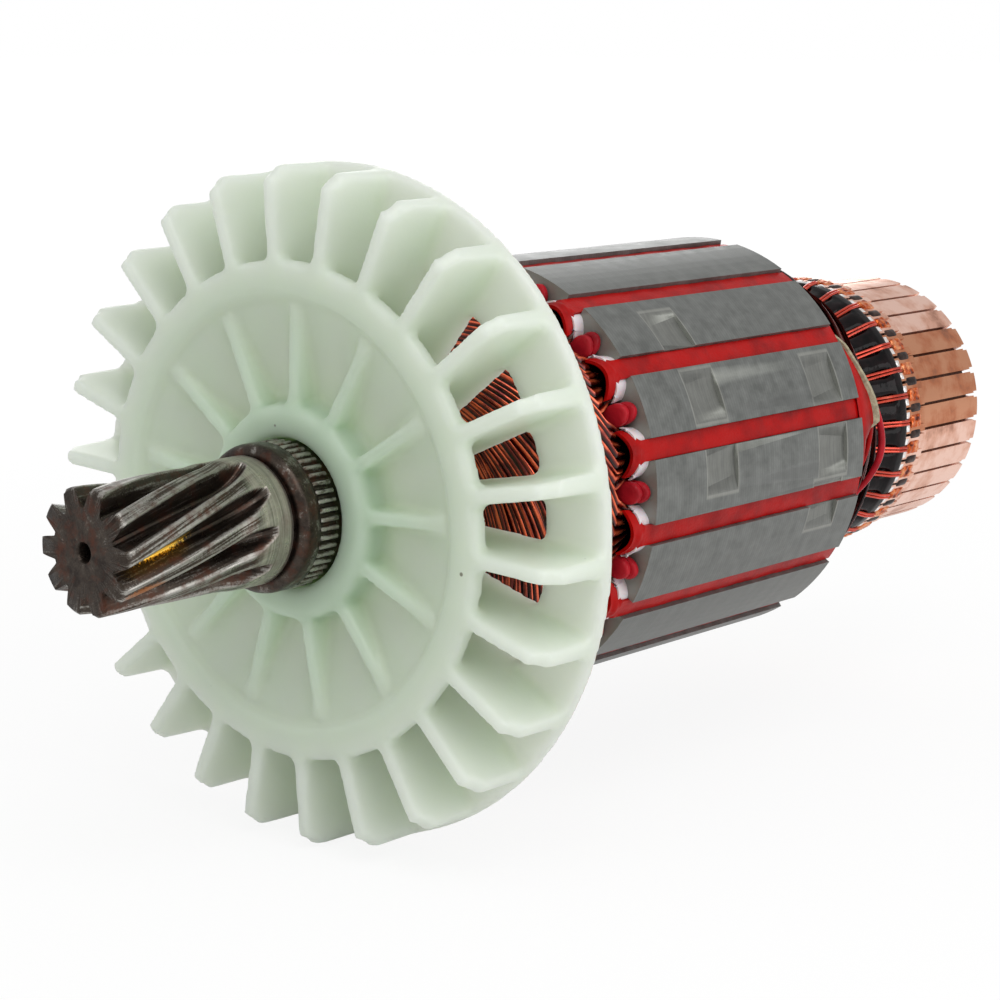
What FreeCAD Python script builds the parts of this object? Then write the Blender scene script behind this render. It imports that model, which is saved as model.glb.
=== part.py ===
import FreeCAD, Part
import math
import os

# Armature of a large portable power tool. Millimetres.
# X is the shaft axis and points from the pinion to the commutator, Z is up.
# The origin is the middle of the front journal. Angles are counted from the
# top, counter-clockwise for a viewer who looks at the pinion's end face.

# Pinion, cut into the shaft
PINION_LENGTH = 22.0
PINION_TEETH = 10
PINION_PHASE = 18.0
PINION_PITCH_R = 6.1
ADDENDUM = 1.1
DEDENDUM = 1.2
PRESSURE_DEG = 20.0
HELIX_DEG = 15.0
TOOTH_SHARE = 0.6
PINION_CHAMFER = 0.4
HOB_R = 8.0
HOB_STEPS = 5
CENTRE_HOLE_R = 0.95
CENTRE_HOLE_DEPTH = 3.0

# Journals, collar and knurl
JOURNAL_W = 2.4
JOURNAL_OVER_TIPS = 0.3
RELIEF_DEPTH = 0.25
RELIEF_W = 0.5
COLLAR_STEP = 1.2
COLLAR_ROUND = 1.1
COLLAR_W = 2.7
KNURL_SHOWN = 2.6
KNURL_COUNT = 50
KNURL_DEPTH = 0.4
CORE_SEAT_R = 6.0
REAR_STEP = 1.0
REAR_NECK = 3.8
REAR_JOURNAL_W = 12.0
END_CHAMFER = 0.6

# Fan
FAN_W = 11.0
FAN_R = 40.2
FAN_RING_T = 1.8
FAN_BLADES = 26
BLADE_PHASE = 3.2
BLADE_TIP_T = 1.7
BLADE_ROOT_T = 2.5
BLADE_IN_R = 20.0
BLADE_STEP_W = 1.6
BLADE_STEP = 1.1
BLADE_ROUND = 1.2
WEB_R = 29.3
WEB_RING_W = 4.3
WEB_T = 2.0
WEB_DIP = 4.2
WINDOW_STEP = 2.2
HUB_WALL = 4.2
HUB_ROUND = 0.6
FAN_RIBS = 13
RIB_PHASE = -3.3
RIB_T = 1.6
RIB_SHORTFALL = 1.5

# Lamination stack
FAN_TO_CORE = 25.0
CORE_LENGTH = 45.5
CORE_R = 27.0
SLOTS = 16
TOOTH_PHASE = 1.25
TOOTH_W = 4.0
SLOT_MOUTH_W = 2.7
SLOT_FLOOR_R = 15.2
TOOTH_LIP = 1.3
TOOTH_SHOULDER = 1.1
BALANCE_CUTTER_R = 15.0
BALANCE_DEPTH = 0.55
BALANCE_W = 6.4
BALANCE_FRONT_IN = 12.6
BALANCE_REAR_IN = 7.2
# Shift along the axis and number of slot pitches from the top tooth
BALANCE_FRONT = [(-0.6, -2.15), (0.0, -3.0), (1.0, -3.85)]
BALANCE_REAR = [(0.0, -3.05), (0.0, -3.95), (-1.0, -4.62)]

# Insulation
SLEEVE_T = 2.5
SLEEVE_INSET = 1.5
LINER_T = 0.35
LINER_OUT = 2.2
INSULATOR_T = 2.4
FINGER_W = 2.8
FINGER_INSET = 0.7
FINGER_ROOT = 1.0
REAR_PLATE_T = 1.2
REAR_PLATE_INSET = 0.8
WEDGE_FOOT = 0.9
WEDGE_SINK = 0.55
WEDGE_OUT = 2.4
WEDGE_GAP = 0.05

# Winding
HEAD_DROP = 2.8
HEAD_CLEAR = 1.6
FRONT_HEAD_LENGTH = 14.5
FRONT_HEAD_END_R = 13.0
HEAD_TWIST = 100.0
HEAD_REACH = 0.75
HEAD_SECTIONS = 5
BUNDLE_STEP = 1.0
BUNDLE_CREST = 0.45
LEAD_R = 0.5
LEAD_IN_RISER = 1.5

# Commutator
CORE_TO_COMM = 22.1
RESIN_W = 8.1
BARS = 32
RISER_W = 6.2
RISER_R = 19.3
BRUSH_STEP = 1.1
BRUSH_W = 16.4
BAR_DEPTH = 4.7
BAR_HOOK = 2.4
BAR_GAP = 0.4
RISER_SLOT_W = 1.3
RISER_SLOT_SINK = 0.2
RESIN_DROP = 1.4
RESIN_RISE = 2.5
END_NOTCH_W = 0.9
END_NOTCH_DEPTH = 1.6
UNDERCUT = 0.8
MOULDING_INSET = 1.8
BUSH_T = 2.2

JOURNAL_HALF = JOURNAL_W / 2.0
PINION_FACE = -JOURNAL_HALF - PINION_LENGTH
PINION_TIP_R = PINION_PITCH_R + ADDENDUM
PINION_ROOT_R = PINION_PITCH_R - DEDENDUM
JOURNAL_R = PINION_TIP_R + JOURNAL_OVER_TIPS
COLLAR_START = JOURNAL_HALF + RELIEF_W
COLLAR_R = JOURNAL_R + COLLAR_STEP
KNURL_START = COLLAR_START + COLLAR_W
KNURL_FOOT_R = COLLAR_R - 2.0 * KNURL_DEPTH

FAN_FRONT = KNURL_START + KNURL_SHOWN
FAN_BACK = FAN_FRONT + FAN_W
FAN_RING_IN_R = WEB_R + WINDOW_STEP
WEB_RING_IN_R = WEB_R - WEB_RING_W
HUB_R = COLLAR_R + HUB_WALL

CORE_START = FAN_BACK + FAN_TO_CORE
CORE_END = CORE_START + CORE_LENGTH
SLOT_LIP_R = CORE_R - TOOTH_LIP
SLOT_SHOULDER_R = SLOT_LIP_R - TOOTH_SHOULDER
SLOT_PITCH = 360.0 / SLOTS
SLOT_PHASE = TOOTH_PHASE + SLOT_PITCH / 2.0

SLEEVE_R = CORE_SEAT_R + SLEEVE_T
FINGER_END_R = CORE_R - FINGER_INSET
INSULATOR_FACE = CORE_START - INSULATOR_T
REAR_PLATE_FACE = CORE_END + REAR_PLATE_T
WEDGE_FOOT_R = SLOT_SHOULDER_R - WEDGE_FOOT
HEAD_R = CORE_R - HEAD_DROP
FRONT_HEAD_START = INSULATOR_FACE - HEAD_CLEAR
REAR_HEAD_START = REAR_PLATE_FACE + HEAD_CLEAR

COMM_START = CORE_END + CORE_TO_COMM
RESIN_START = COMM_START - RESIN_W
RISER_END = COMM_START + RISER_W
COMM_END = RISER_END + BRUSH_W
MOULDING_END = COMM_END - MOULDING_INSET
BRUSH_R = RISER_R - BRUSH_STEP
BAR_FOOT_R = BRUSH_R - BAR_DEPTH
RESIN_R = RISER_R - RESIN_DROP
RESIN_FOOT_R = RESIN_R - RESIN_RISE
BUSH_R = CORE_SEAT_R + BUSH_T
BAR_PITCH = 360.0 / BARS
SLEEVE_START = FRONT_HEAD_START - FRONT_HEAD_LENGTH - SLEEVE_INSET
REAR_JOURNAL_START = COMM_END + REAR_NECK
REAR_JOURNAL_R = CORE_SEAT_R - REAR_STEP
REAR_END = REAR_JOURNAL_START + REAR_JOURNAL_W

# How far a cutter runs past the surface it cuts, and a piece into its neighbour
BEYOND = 1.0
SINK = 0.1

V = FreeCAD.Vector
ORIGIN = V(0, 0, 0)
ALONG = V(1, 0, 0)
TOWARDS_PINION = V(-1, 0, 0)


def line(a, b):
    """A straight edge."""
    return Part.LineSegment(a, b).toShape()


def arc(a, middle, b):
    """An arc through three points."""
    return Part.Arc(a, middle, b).toShape()


def lines(points):
    """Straight edges from point to point."""
    return [line(a, b) for a, b in zip(points[:-1], points[1:])]


def turned(points):
    """A solid turned about the shaft axis from (x, radius) points."""
    corners = [V(x, 0, r) for x, r in points]
    return turned_outline(lines(corners + [corners[0]]))


def turned_outline(edges):
    """A solid turned about the shaft axis from a closed list of edges."""
    return Part.Face(Part.Wire(edges)).revolve(ORIGIN, ALONG, 360)


def tube(x0, x1, inner, outer):
    """A plain tube, or a rod where inner is zero."""
    return turned([(x0, inner), (x1, inner), (x1, outer), (x0, outer)])


def at_angle(shape, degrees):
    """A copy of a shape made at the top, turned round the axis."""
    copy = shape.copy()
    copy.rotate(ORIGIN, TOWARDS_PINION, degrees)
    return copy


def around(shape, count, phase):
    """Evenly spaced copies of a shape round the axis."""
    return [at_angle(shape, phase + i * 360.0 / count) for i in range(count)]


def on_circle(x, radius, degrees):
    """The point at an angle on a circle round the axis."""
    a = math.radians(degrees)
    return V(x, radius * math.sin(a), radius * math.cos(a))


def prism(points, x0, x1):
    """A solid of constant section; the points are (y, z)."""
    corners = [V(x0, y, z) for y, z in points]
    face = Part.Face(Part.Wire(lines(corners + [corners[0]])))
    return face.extrude(V(x1 - x0, 0, 0))


def mirrored(half):
    """A closed section from its right half, listed from bottom to top."""
    return half + [(-y, z) for y, z in reversed(half)]


def slot_half_width(radius, inset):
    """Half the slot width at a height above the axis, teeth parallel."""
    half_pitch = math.radians(SLOT_PITCH / 2.0)
    side = TOOTH_W / 2.0 + inset
    return radius * math.tan(half_pitch) - side / math.cos(half_pitch)


def save(shape, name):
    """Write one node."""
    shape.exportStep("parts/" + name + ".step")


def tooth_space(x, turn, lift):
    """The hob's section between two teeth, turned and lifted out of the root."""
    base_r = PINION_PITCH_R * math.cos(math.radians(PRESSURE_DEG))
    pitch = 2.0 * math.pi / PINION_TEETH
    middle = on_circle(0, lift, turn)

    def involute(radius):
        roll = math.sqrt(max((radius / base_r) ** 2 - 1.0, 0.0))
        return roll - math.atan(roll)

    def point(radius, side):
        tooth_half = pitch * TOOTH_SHARE / 2.0 + involute(PINION_PITCH_R) - involute(radius)
        degrees = math.degrees(pitch / 2.0 - tooth_half)
        return on_circle(x, radius, turn + side * degrees) + middle

    top_r = JOURNAL_R + JOURNAL_OVER_TIPS
    flank_r = (base_r + top_r) / 2.0
    foot = on_circle(x, PINION_ROOT_R, turn) + middle
    corners = [point(top_r, -1), point(flank_r, -1), point(base_r, -1), foot]
    corners += [point(base_r, 1), point(flank_r, 1), point(top_r, 1), point(top_r, -1)]
    return Part.Wire(lines(corners))


def hob_path():
    """Stations of the hob: along the teeth, then up its own circle to the journal."""
    rise = JOURNAL_R - PINION_ROOT_R
    runout = math.sqrt(rise * (2.0 * HOB_R - rise))
    straight = -JOURNAL_HALF - runout - (PINION_FACE - BEYOND)
    path = [(PINION_FACE - BEYOND + straight * i / HOB_STEPS, 0.0) for i in range(HOB_STEPS + 1)]
    for i in range(HOB_STEPS):
        reach = runout * (i + 1.0) / HOB_STEPS
        path.append((-JOURNAL_HALF - runout + reach, HOB_R - math.sqrt(HOB_R ** 2 - reach ** 2)))
    return path


def pinion_space():
    """The space between two teeth, following the left-hand helix."""
    lead = 2.0 * math.pi * PINION_PITCH_R / math.tan(math.radians(HELIX_DEG))
    sections = []
    for x, lift in hob_path():
        turn = PINION_PHASE + 180.0 / PINION_TEETH + 360.0 * (x - PINION_FACE) / lead
        sections.append(tooth_space(x, turn, lift))
    return Part.makeLoft(sections, True, True)


def knurled_seat():
    """The collar's serrated part that drives the fan."""
    points = []
    for i in range(KNURL_COUNT):
        for share, radius in ((-0.5, COLLAR_R - KNURL_DEPTH), (-0.2, COLLAR_R), (0.2, COLLAR_R)):
            corner = on_circle(0, radius, (i + share) * 360.0 / KNURL_COUNT)
            points.append((corner.y, corner.z))
    return prism(points, KNURL_START, FAN_BACK)


def shaft():
    """Shaft, pinion, journals, collar and knurl in one piece."""
    tip_run = math.sqrt(JOURNAL_OVER_TIPS * (2.0 * HOB_R - JOURNAL_OVER_TIPS))
    relief_r = JOURNAL_R - RELIEF_DEPTH
    round_foot = V(COLLAR_START, 0, COLLAR_R - COLLAR_ROUND)
    round_end = V(COLLAR_START + COLLAR_ROUND, 0, COLLAR_R)
    bulge = COLLAR_ROUND * (1.0 - math.sqrt(0.5))
    edges = lines([
        V(PINION_FACE, 0, 0),
        V(PINION_FACE, 0, PINION_TIP_R - PINION_CHAMFER),
        V(PINION_FACE + PINION_CHAMFER, 0, PINION_TIP_R),
        V(-JOURNAL_HALF - tip_run, 0, PINION_TIP_R),
        V(-JOURNAL_HALF, 0, JOURNAL_R),
        V(JOURNAL_HALF, 0, JOURNAL_R),
        V(JOURNAL_HALF, 0, relief_r),
        V(COLLAR_START, 0, relief_r),
        round_foot,
    ])
    edges.append(arc(round_foot, V(COLLAR_START + bulge, 0, COLLAR_R - bulge), round_end))
    edges += lines([
        round_end,
        V(KNURL_START, 0, COLLAR_R),
        V(KNURL_START, 0, KNURL_FOOT_R),
        V(FAN_BACK, 0, KNURL_FOOT_R),
        V(FAN_BACK, 0, CORE_SEAT_R),
        V(REAR_JOURNAL_START, 0, CORE_SEAT_R),
        V(REAR_JOURNAL_START, 0, REAR_JOURNAL_R),
        V(REAR_END - END_CHAMFER, 0, REAR_JOURNAL_R),
        V(REAR_END, 0, REAR_JOURNAL_R - END_CHAMFER),
        V(REAR_END, 0, 0),
        V(PINION_FACE, 0, 0),
    ])
    front_hole = tube(PINION_FACE, PINION_FACE + CENTRE_HOLE_DEPTH, 0, CENTRE_HOLE_R)
    rear_hole = tube(REAR_END - CENTRE_HOLE_DEPTH, REAR_END, 0, CENTRE_HOLE_R)
    cuts = around(pinion_space(), PINION_TEETH, 0.0) + [front_hole, rear_hole]
    return turned_outline(edges).cut(cuts).fuse(knurled_seat()).removeSplitter()


def fan_web():
    """Hub, dished web and the flat ring that the blades stand on."""
    web_x = FAN_FRONT + WEB_DIP
    ring_x = FAN_FRONT + WEB_T / 2.0
    return turned([
        (FAN_FRONT + HUB_ROUND, COLLAR_R),
        (FAN_FRONT, COLLAR_R + HUB_ROUND),
        (FAN_FRONT, HUB_R - 1.5 * HUB_ROUND),
        (FAN_FRONT + HUB_ROUND, HUB_R - HUB_ROUND / 2.0),
        (web_x, HUB_R),
        (ring_x, WEB_RING_IN_R),
        (FAN_FRONT, WEB_RING_IN_R + HUB_ROUND),
        (FAN_FRONT, WEB_R),
        (FAN_FRONT + WEB_T, WEB_R),
        (ring_x + WEB_T, WEB_RING_IN_R),
        (web_x + WEB_T, HUB_R),
        (FAN_BACK, HUB_R),
        (FAN_BACK, COLLAR_R),
    ])


def fan_blade():
    """One blade, thicker towards the ring, that runs on behind the web."""
    inner = BLADE_IN_R
    outer = FAN_R - SINK
    step_r = FAN_R - BLADE_STEP_W
    round_x = FAN_FRONT + BLADE_STEP + BLADE_ROUND
    sections = []
    for x, thickness in ((FAN_FRONT, BLADE_TIP_T), (FAN_BACK - SINK, BLADE_ROOT_T)):
        half = thickness / 2.0
        corners = [V(x, half, inner), V(x, half, outer), V(x, -half, outer), V(x, -half, inner)]
        sections.append(Part.Wire(lines(corners + [corners[0]])))
    before_web = turned([
        (FAN_FRONT - BEYOND, HUB_R),
        (FAN_FRONT + WEB_DIP + WEB_T / 2.0, HUB_R),
        (FAN_FRONT + WEB_T, WEB_RING_IN_R),
        (FAN_FRONT + WEB_T / 2.0, WEB_R - BLADE_STEP_W),
        (FAN_FRONT - BEYOND, WEB_R - BLADE_STEP_W),
    ])
    step = turned([
        (FAN_FRONT - BEYOND, step_r),
        (FAN_FRONT, step_r),
        (FAN_FRONT + BLADE_STEP, step_r + BLADE_STEP / 3.0),
        (round_x - BLADE_ROUND, FAN_R - BLADE_ROUND),
        (round_x, outer),
        (round_x, FAN_R + BEYOND),
        (FAN_FRONT - BEYOND, FAN_R + BEYOND),
    ])
    return Part.makeLoft(sections, True, True).cut([before_web, step])


def fan_rib():
    """One of the low ribs that stiffen the dished web."""
    y = -RIB_T / 2.0
    inner = HUB_R - HUB_ROUND
    edge_x = FAN_FRONT + HUB_ROUND
    corners = [
        V(FAN_FRONT + WEB_DIP + WEB_T / 2.0, y, inner),
        V(edge_x, y, inner),
        V(edge_x, y, WEB_RING_IN_R - RIB_SHORTFALL),
        V(FAN_FRONT + WEB_T / 2.0 + SINK, y, WEB_RING_IN_R),
        V(FAN_FRONT + WEB_T, y, WEB_RING_IN_R),
    ]
    return Part.Face(Part.Wire(lines(corners + [corners[0]]))).extrude(V(0, RIB_T, 0))


def fan():
    """Hub, dished web with ribs, web ring, blades and rear ring."""
    ring = tube(FAN_BACK - FAN_RING_T, FAN_BACK, FAN_RING_IN_R, FAN_R)
    pieces = [ring]
    pieces += around(fan_blade(), FAN_BLADES, BLADE_PHASE)
    pieces += around(fan_rib(), FAN_RIBS, RIB_PHASE)
    return fan_web().fuse(pieces).removeSplitter()


def slot_section(inset, floor, top):
    """The slot's section inside the teeth, up to a height."""
    return mirrored([(slot_half_width(floor, inset), floor), (slot_half_width(top, inset), top)])


def open_slot(x0, x1):
    """A slot with its mouth, running past the stack's outside."""
    return prism(mirrored([
        (slot_half_width(SLOT_FLOOR_R, 0.0), SLOT_FLOOR_R),
        (slot_half_width(SLOT_SHOULDER_R, 0.0), SLOT_SHOULDER_R),
        (SLOT_MOUTH_W / 2.0, SLOT_LIP_R),
        (SLOT_MOUTH_W / 2.0, CORE_R + BEYOND),
    ]), x0 - BEYOND, x1 + BEYOND)


def balance_cuts():
    """Shallow cuts of a milling cutter across the tooth tops."""
    height = CORE_R - BALANCE_DEPTH + BALANCE_CUTTER_R
    cuts = []
    for row_x, row in ((CORE_START + BALANCE_FRONT_IN, BALANCE_FRONT), (CORE_END - BALANCE_REAR_IN, BALANCE_REAR)):
        for shift, pitches in row:
            corner = V(row_x + shift - BALANCE_W / 2.0, 0, height)
            cutter = Part.makeCylinder(BALANCE_CUTTER_R, BALANCE_W, corner, ALONG)
            cuts.append(at_angle(cutter, TOOTH_PHASE + pitches * SLOT_PITCH))
    return cuts


def lamination_stack():
    """The stack with open slots and the balance cuts."""
    stack = tube(CORE_START, CORE_END, SLEEVE_R, CORE_R)
    slots = around(open_slot(CORE_START, CORE_END), SLOTS, SLOT_PHASE)
    return stack.cut(slots).cut(balance_cuts())


def slot_liner():
    """Folded paper on the slot's floor and sides."""
    x0 = CORE_START - LINER_OUT
    x1 = CORE_END + LINER_OUT
    outer = prism(slot_section(0.0, SLOT_FLOOR_R, SLOT_SHOULDER_R), x0, x1)
    space = slot_section(LINER_T, SLOT_FLOOR_R + LINER_T, SLOT_SHOULDER_R + BEYOND)
    return outer.cut(prism(space, x0 - BEYOND, x1 + BEYOND))


def wedge():
    """The strip that closes a slot, its ridge filling the mouth."""
    ridge = SLOT_MOUTH_W / 2.0 - WEDGE_GAP
    return prism(mirrored([
        (slot_half_width(WEDGE_FOOT_R, LINER_T), WEDGE_FOOT_R),
        (slot_half_width(SLOT_SHOULDER_R, LINER_T), SLOT_SHOULDER_R),
        (ridge, SLOT_LIP_R - WEDGE_GAP),
        (ridge, CORE_R - WEDGE_SINK),
    ]), CORE_START - WEDGE_OUT, CORE_END + WEDGE_OUT)


def front_insulator():
    """Plate with one round-ended finger over each tooth."""
    x = INSULATOR_FACE
    half = FINGER_W / 2.0
    top = FINGER_END_R - half
    root = SLOT_FLOOR_R - FINGER_ROOT
    outline = lines([V(x, -half, top), V(x, -half, root), V(x, half, root), V(x, half, top)])
    outline.append(arc(V(x, half, top), V(x, 0, FINGER_END_R), V(x, -half, top)))
    finger = Part.Face(Part.Wire(outline)).extrude(V(INSULATOR_T, 0, 0))
    plate = tube(x, CORE_START, SLEEVE_R, SLOT_FLOOR_R)
    return plate.fuse(around(finger, SLOTS, TOOTH_PHASE)).removeSplitter()


def rear_insulator():
    """Flat fibre plate with the slots punched out."""
    plate = tube(CORE_END, REAR_PLATE_FACE, SLEEVE_R, CORE_R - REAR_PLATE_INSET)
    return plate.cut(around(open_slot(CORE_END, REAR_PLATE_FACE), SLOTS, SLOT_PHASE))


def head_section(x, radius, turn):
    """A ring of coil bundles in cross-section, each lying on the next one's foot."""
    foot_r = radius - BUNDLE_STEP
    edges = []
    for i in range(SLOTS):
        a = SLOT_PHASE + turn + i * SLOT_PITCH
        foot = on_circle(x, foot_r, a - SLOT_PITCH / 2.0)
        middle = on_circle(x, radius - BUNDLE_STEP / 3.0, a)
        crest = on_circle(x, radius, a + BUNDLE_CREST * SLOT_PITCH)
        following = on_circle(x, foot_r, a + SLOT_PITCH / 2.0)
        edges.append(arc(foot, middle, crest))
        edges.append(line(crest, following))
    return Part.Wire(edges)


def winding_head(start_x, end_x, end_r):
    """End turns in a dome, each bundle turning more the nearer it is to the shaft."""
    sections = []
    for i in range(HEAD_SECTIONS):
        share = HEAD_REACH * i / (HEAD_SECTIONS - 1.0)
        bend = share * (2.0 - share) * math.pi / 2.0
        x = start_x + (end_x - start_x) * math.sin(bend)
        radius = end_r + (HEAD_R - end_r) * math.cos(bend)
        sections.append(head_section(x, radius, HEAD_TWIST * share))
    dome = Part.makeLoft(sections, True, True)
    low_x = min(start_x, end_x) - BEYOND
    return dome.cut(tube(low_x, low_x + abs(end_x - start_x) + 2.0 * BEYOND, 0, SLEEVE_R))


def winding():
    """Slot bundles and both heads, bonded together by varnish."""
    front = winding_head(FRONT_HEAD_START, FRONT_HEAD_START - FRONT_HEAD_LENGTH, FRONT_HEAD_END_R)
    rear = winding_head(REAR_HEAD_START, RESIN_START, RESIN_FOOT_R)
    bundle = prism(
        slot_section(LINER_T, SLOT_FLOOR_R + LINER_T, WEDGE_FOOT_R),
        FRONT_HEAD_START,
        REAR_HEAD_START,
    )
    return front.fuse([rear] + around(bundle, SLOTS, SLOT_PHASE))


def resin_band():
    """Black resin that rises from the rear head to the risers."""
    return turned([
        (RESIN_START, SLEEVE_R),
        (COMM_START, SLEEVE_R),
        (COMM_START, RESIN_R),
        (RESIN_START, RESIN_FOOT_R),
    ])


def coil_leads():
    """One lead per bar, lying on the resin's cone, from the head to its riser."""
    slope = math.atan2(RESIN_RISE, RESIN_W)
    foot = V(RESIN_START + LEAD_R, 0, RESIN_FOOT_R + LEAD_R * math.tan(slope) + LEAD_R / math.cos(slope))
    length = (RESIN_W - LEAD_R + LEAD_IN_RISER) / math.cos(slope)
    lead = Part.makeCylinder(LEAD_R, length, foot, V(math.cos(slope), 0, math.sin(slope)))
    return Part.makeCompound(around(lead, BARS, TOOTH_PHASE))


def bar_blank():
    """A commutator bar before its slots, a sector between two gaps."""
    half_pitch = math.radians(BAR_PITCH / 2.0)
    side = BAR_GAP / 2.0 / math.cos(half_pitch)
    high = RISER_R + BEYOND
    sector = prism(mirrored([
        (BAR_FOOT_R * math.tan(half_pitch) - side, BAR_FOOT_R),
        (high * math.tan(half_pitch) - side, high),
    ]), COMM_START - BEYOND, COMM_END + BEYOND)
    profile = turned([
        (COMM_START, 0.0),
        (COMM_START, RISER_R),
        (RISER_END, RISER_R),
        (RISER_END, BRUSH_R),
        (COMM_END, BRUSH_R),
        (COMM_END, BAR_FOOT_R + BAR_HOOK),
        (MOULDING_END, BAR_FOOT_R),
        (MOULDING_END, 0.0),
    ])
    return sector.common(profile)


def commutator_bar():
    """The bar with its wire slot and the notches at its far end."""
    slot_foot = V(COMM_START - BEYOND, -RISER_SLOT_W / 2.0, RESIN_R - RISER_SLOT_SINK)
    slot = Part.makeBox(RISER_W + BEYOND, RISER_SLOT_W, RISER_R, slot_foot)
    notch_foot = V(COMM_END - END_NOTCH_W, -END_NOTCH_W / 2.0, BRUSH_R - END_NOTCH_DEPTH)
    notch = Part.makeBox(END_NOTCH_W + BEYOND, END_NOTCH_W, END_NOTCH_DEPTH + BEYOND, notch_foot)
    notches = [at_angle(notch, side * BAR_PITCH / 2.0) for side in (-1, 1)]
    return bar_blank().cut([slot] + notches)


def commutator_moulding(blanks):
    """Moulded body that fills the gaps up to the undercut."""
    body = turned([
        (COMM_START, BUSH_R),
        (COMM_START, RISER_R - UNDERCUT),
        (RISER_END - UNDERCUT, RISER_R - UNDERCUT),
        (RISER_END - UNDERCUT, BRUSH_R - UNDERCUT),
        (MOULDING_END, BRUSH_R - UNDERCUT),
        (MOULDING_END, BUSH_R),
    ])
    return body.cut(blanks)


def build():
    """Write every node."""
    os.makedirs("parts", exist_ok=True)
    save(shaft(), "shaft")
    save(fan(), "fan")
    save(lamination_stack(), "lamination_stack")
    save(tube(SLEEVE_START, COMM_START, CORE_SEAT_R, SLEEVE_R), "shaft_sleeve")
    save(front_insulator(), "front_end_insulator")
    save(rear_insulator(), "rear_end_insulator")
    save(Part.makeCompound(around(slot_liner(), SLOTS, SLOT_PHASE)), "slot_liners")
    for i, piece in enumerate(around(wedge(), SLOTS, SLOT_PHASE)):
        save(piece, "slot_wedge_%02d" % (i + 1))
    save(winding(), "winding")
    save(resin_band(), "resin_band")
    save(coil_leads(), "coil_leads")
    blanks = around(bar_blank(), BARS, TOOTH_PHASE)
    save(commutator_moulding(blanks), "commutator_moulding")
    save(tube(COMM_START, MOULDING_END, CORE_SEAT_R, BUSH_R), "commutator_bush")
    for i, piece in enumerate(around(commutator_bar(), BARS, TOOTH_PHASE)):
        save(piece, "commutator_bar_%02d" % (i + 1))


build()
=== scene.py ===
"""Armature of a large portable power tool, dressed over its solids.

Lengths are written in millimetres and turned to metres where they enter a mesh.
X runs from the pinion to the commutator. Angles are counted from the top,
counter-clockwise for a viewer who looks at the pinion's end face.
"""
import logging
import math
from dataclasses import dataclass
from enum import Enum
from functools import reduce

import bmesh
import bpy
import numpy as np
from mathutils import Matrix, Vector


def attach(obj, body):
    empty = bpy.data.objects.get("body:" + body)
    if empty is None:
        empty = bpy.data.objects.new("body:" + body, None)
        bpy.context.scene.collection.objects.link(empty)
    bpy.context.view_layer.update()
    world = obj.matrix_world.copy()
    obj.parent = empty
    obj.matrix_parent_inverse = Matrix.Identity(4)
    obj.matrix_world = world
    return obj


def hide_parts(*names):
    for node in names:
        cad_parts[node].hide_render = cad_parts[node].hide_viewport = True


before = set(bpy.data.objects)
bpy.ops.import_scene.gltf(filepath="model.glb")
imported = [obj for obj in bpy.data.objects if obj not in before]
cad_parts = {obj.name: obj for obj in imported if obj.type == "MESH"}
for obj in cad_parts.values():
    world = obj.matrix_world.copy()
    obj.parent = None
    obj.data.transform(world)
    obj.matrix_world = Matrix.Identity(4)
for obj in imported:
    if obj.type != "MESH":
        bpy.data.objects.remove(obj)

log = logging.getLogger("armature")

MM = 0.001  # metres in a millimetre
WELD = 1e-6  # points nearer than this, in metres, are one
FULL_TURN = 360.0
PHASE = 1.25  # degrees from the top to the first tooth and the first bar
HUB_R = 8.6  # where resin and winding end over the shaft, in millimetres
MIDDLE = (50.0, 0.0, 0.0)  # what the lamps face, in millimetres

Socket = bpy.types.NodeSocket
Material = bpy.types.Material
Array = np.ndarray
Point = tuple[float, float, float]


# Small tools shared by every piece

def linear(colour: str | float) -> tuple[float, float, float, float]:
    """Turn an sRGB hex colour such as "#CAD8C4" to linear RGBA; a plain number stays, as a grey."""
    if isinstance(colour, float):
        return colour, colour, colour, 1.0
    channels = [int(colour[i:i + 2], 16) / 255.0 for i in (1, 3, 5)]
    values = [c / 12.92 if c <= 0.04045 else ((c + 0.055) / 1.055) ** 2.4 for c in channels]
    return values[0], values[1], values[2], 1.0


def fill(tree: bpy.types.NodeTree, node: bpy.types.Node, inputs: dict) -> None:
    """Set a node's inputs: an output is linked, a hex colour made linear, another value set as it is."""
    for key, value in inputs.items():
        if isinstance(value, Socket):
            tree.links.new(value, node.inputs[key])
        else:
            node.inputs[key].default_value = linear(value) if isinstance(value, str) else value


def add_node(tree: bpy.types.NodeTree, kind: str, settings: dict | None = None,
             inputs: dict | None = None, stops: tuple = ()) -> bpy.types.Node:
    """Add a node with its settings, its input values or links, and a ramp's stops.

    Args:
        tree: The material's or the world's node tree.
        kind: The node's type name.
        settings: Properties of the node itself.
        inputs: Socket name or number to a value, or to the output that feeds it.
        stops: Places and colours, or numbers, of a colour ramp.

    Returns:
        The new node.
    """
    node = tree.nodes.new(kind)
    for key, value in (settings or {}).items():
        setattr(node, key, value)
    fill(tree, node, inputs or {})
    if stops:
        ramp = node.color_ramp
        while len(ramp.elements) < len(stops):
            ramp.elements.new(0.5)
        for element, (place, colour) in zip(ramp.elements, stops):
            element.position = place
            element.color = linear(colour)
    return node


def points_at(x: Array, y: Array, z: Array) -> Array:
    """Points in metres from millimetres along each axis, all brought to one shape."""
    return np.stack(np.broadcast_arrays(x, y, z), axis=-1) * MM


def around(count: int, phase: float = 0.0) -> Array:
    """Evenly spaced angles, in degrees."""
    return phase + np.arange(count) * FULL_TURN / count


def ring_angle(count: int) -> Array:
    """A row of angles that goes once round a section, in radians."""
    return np.linspace(0.0, 2.0 * np.pi, count + 1)[None, :-1]


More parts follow.
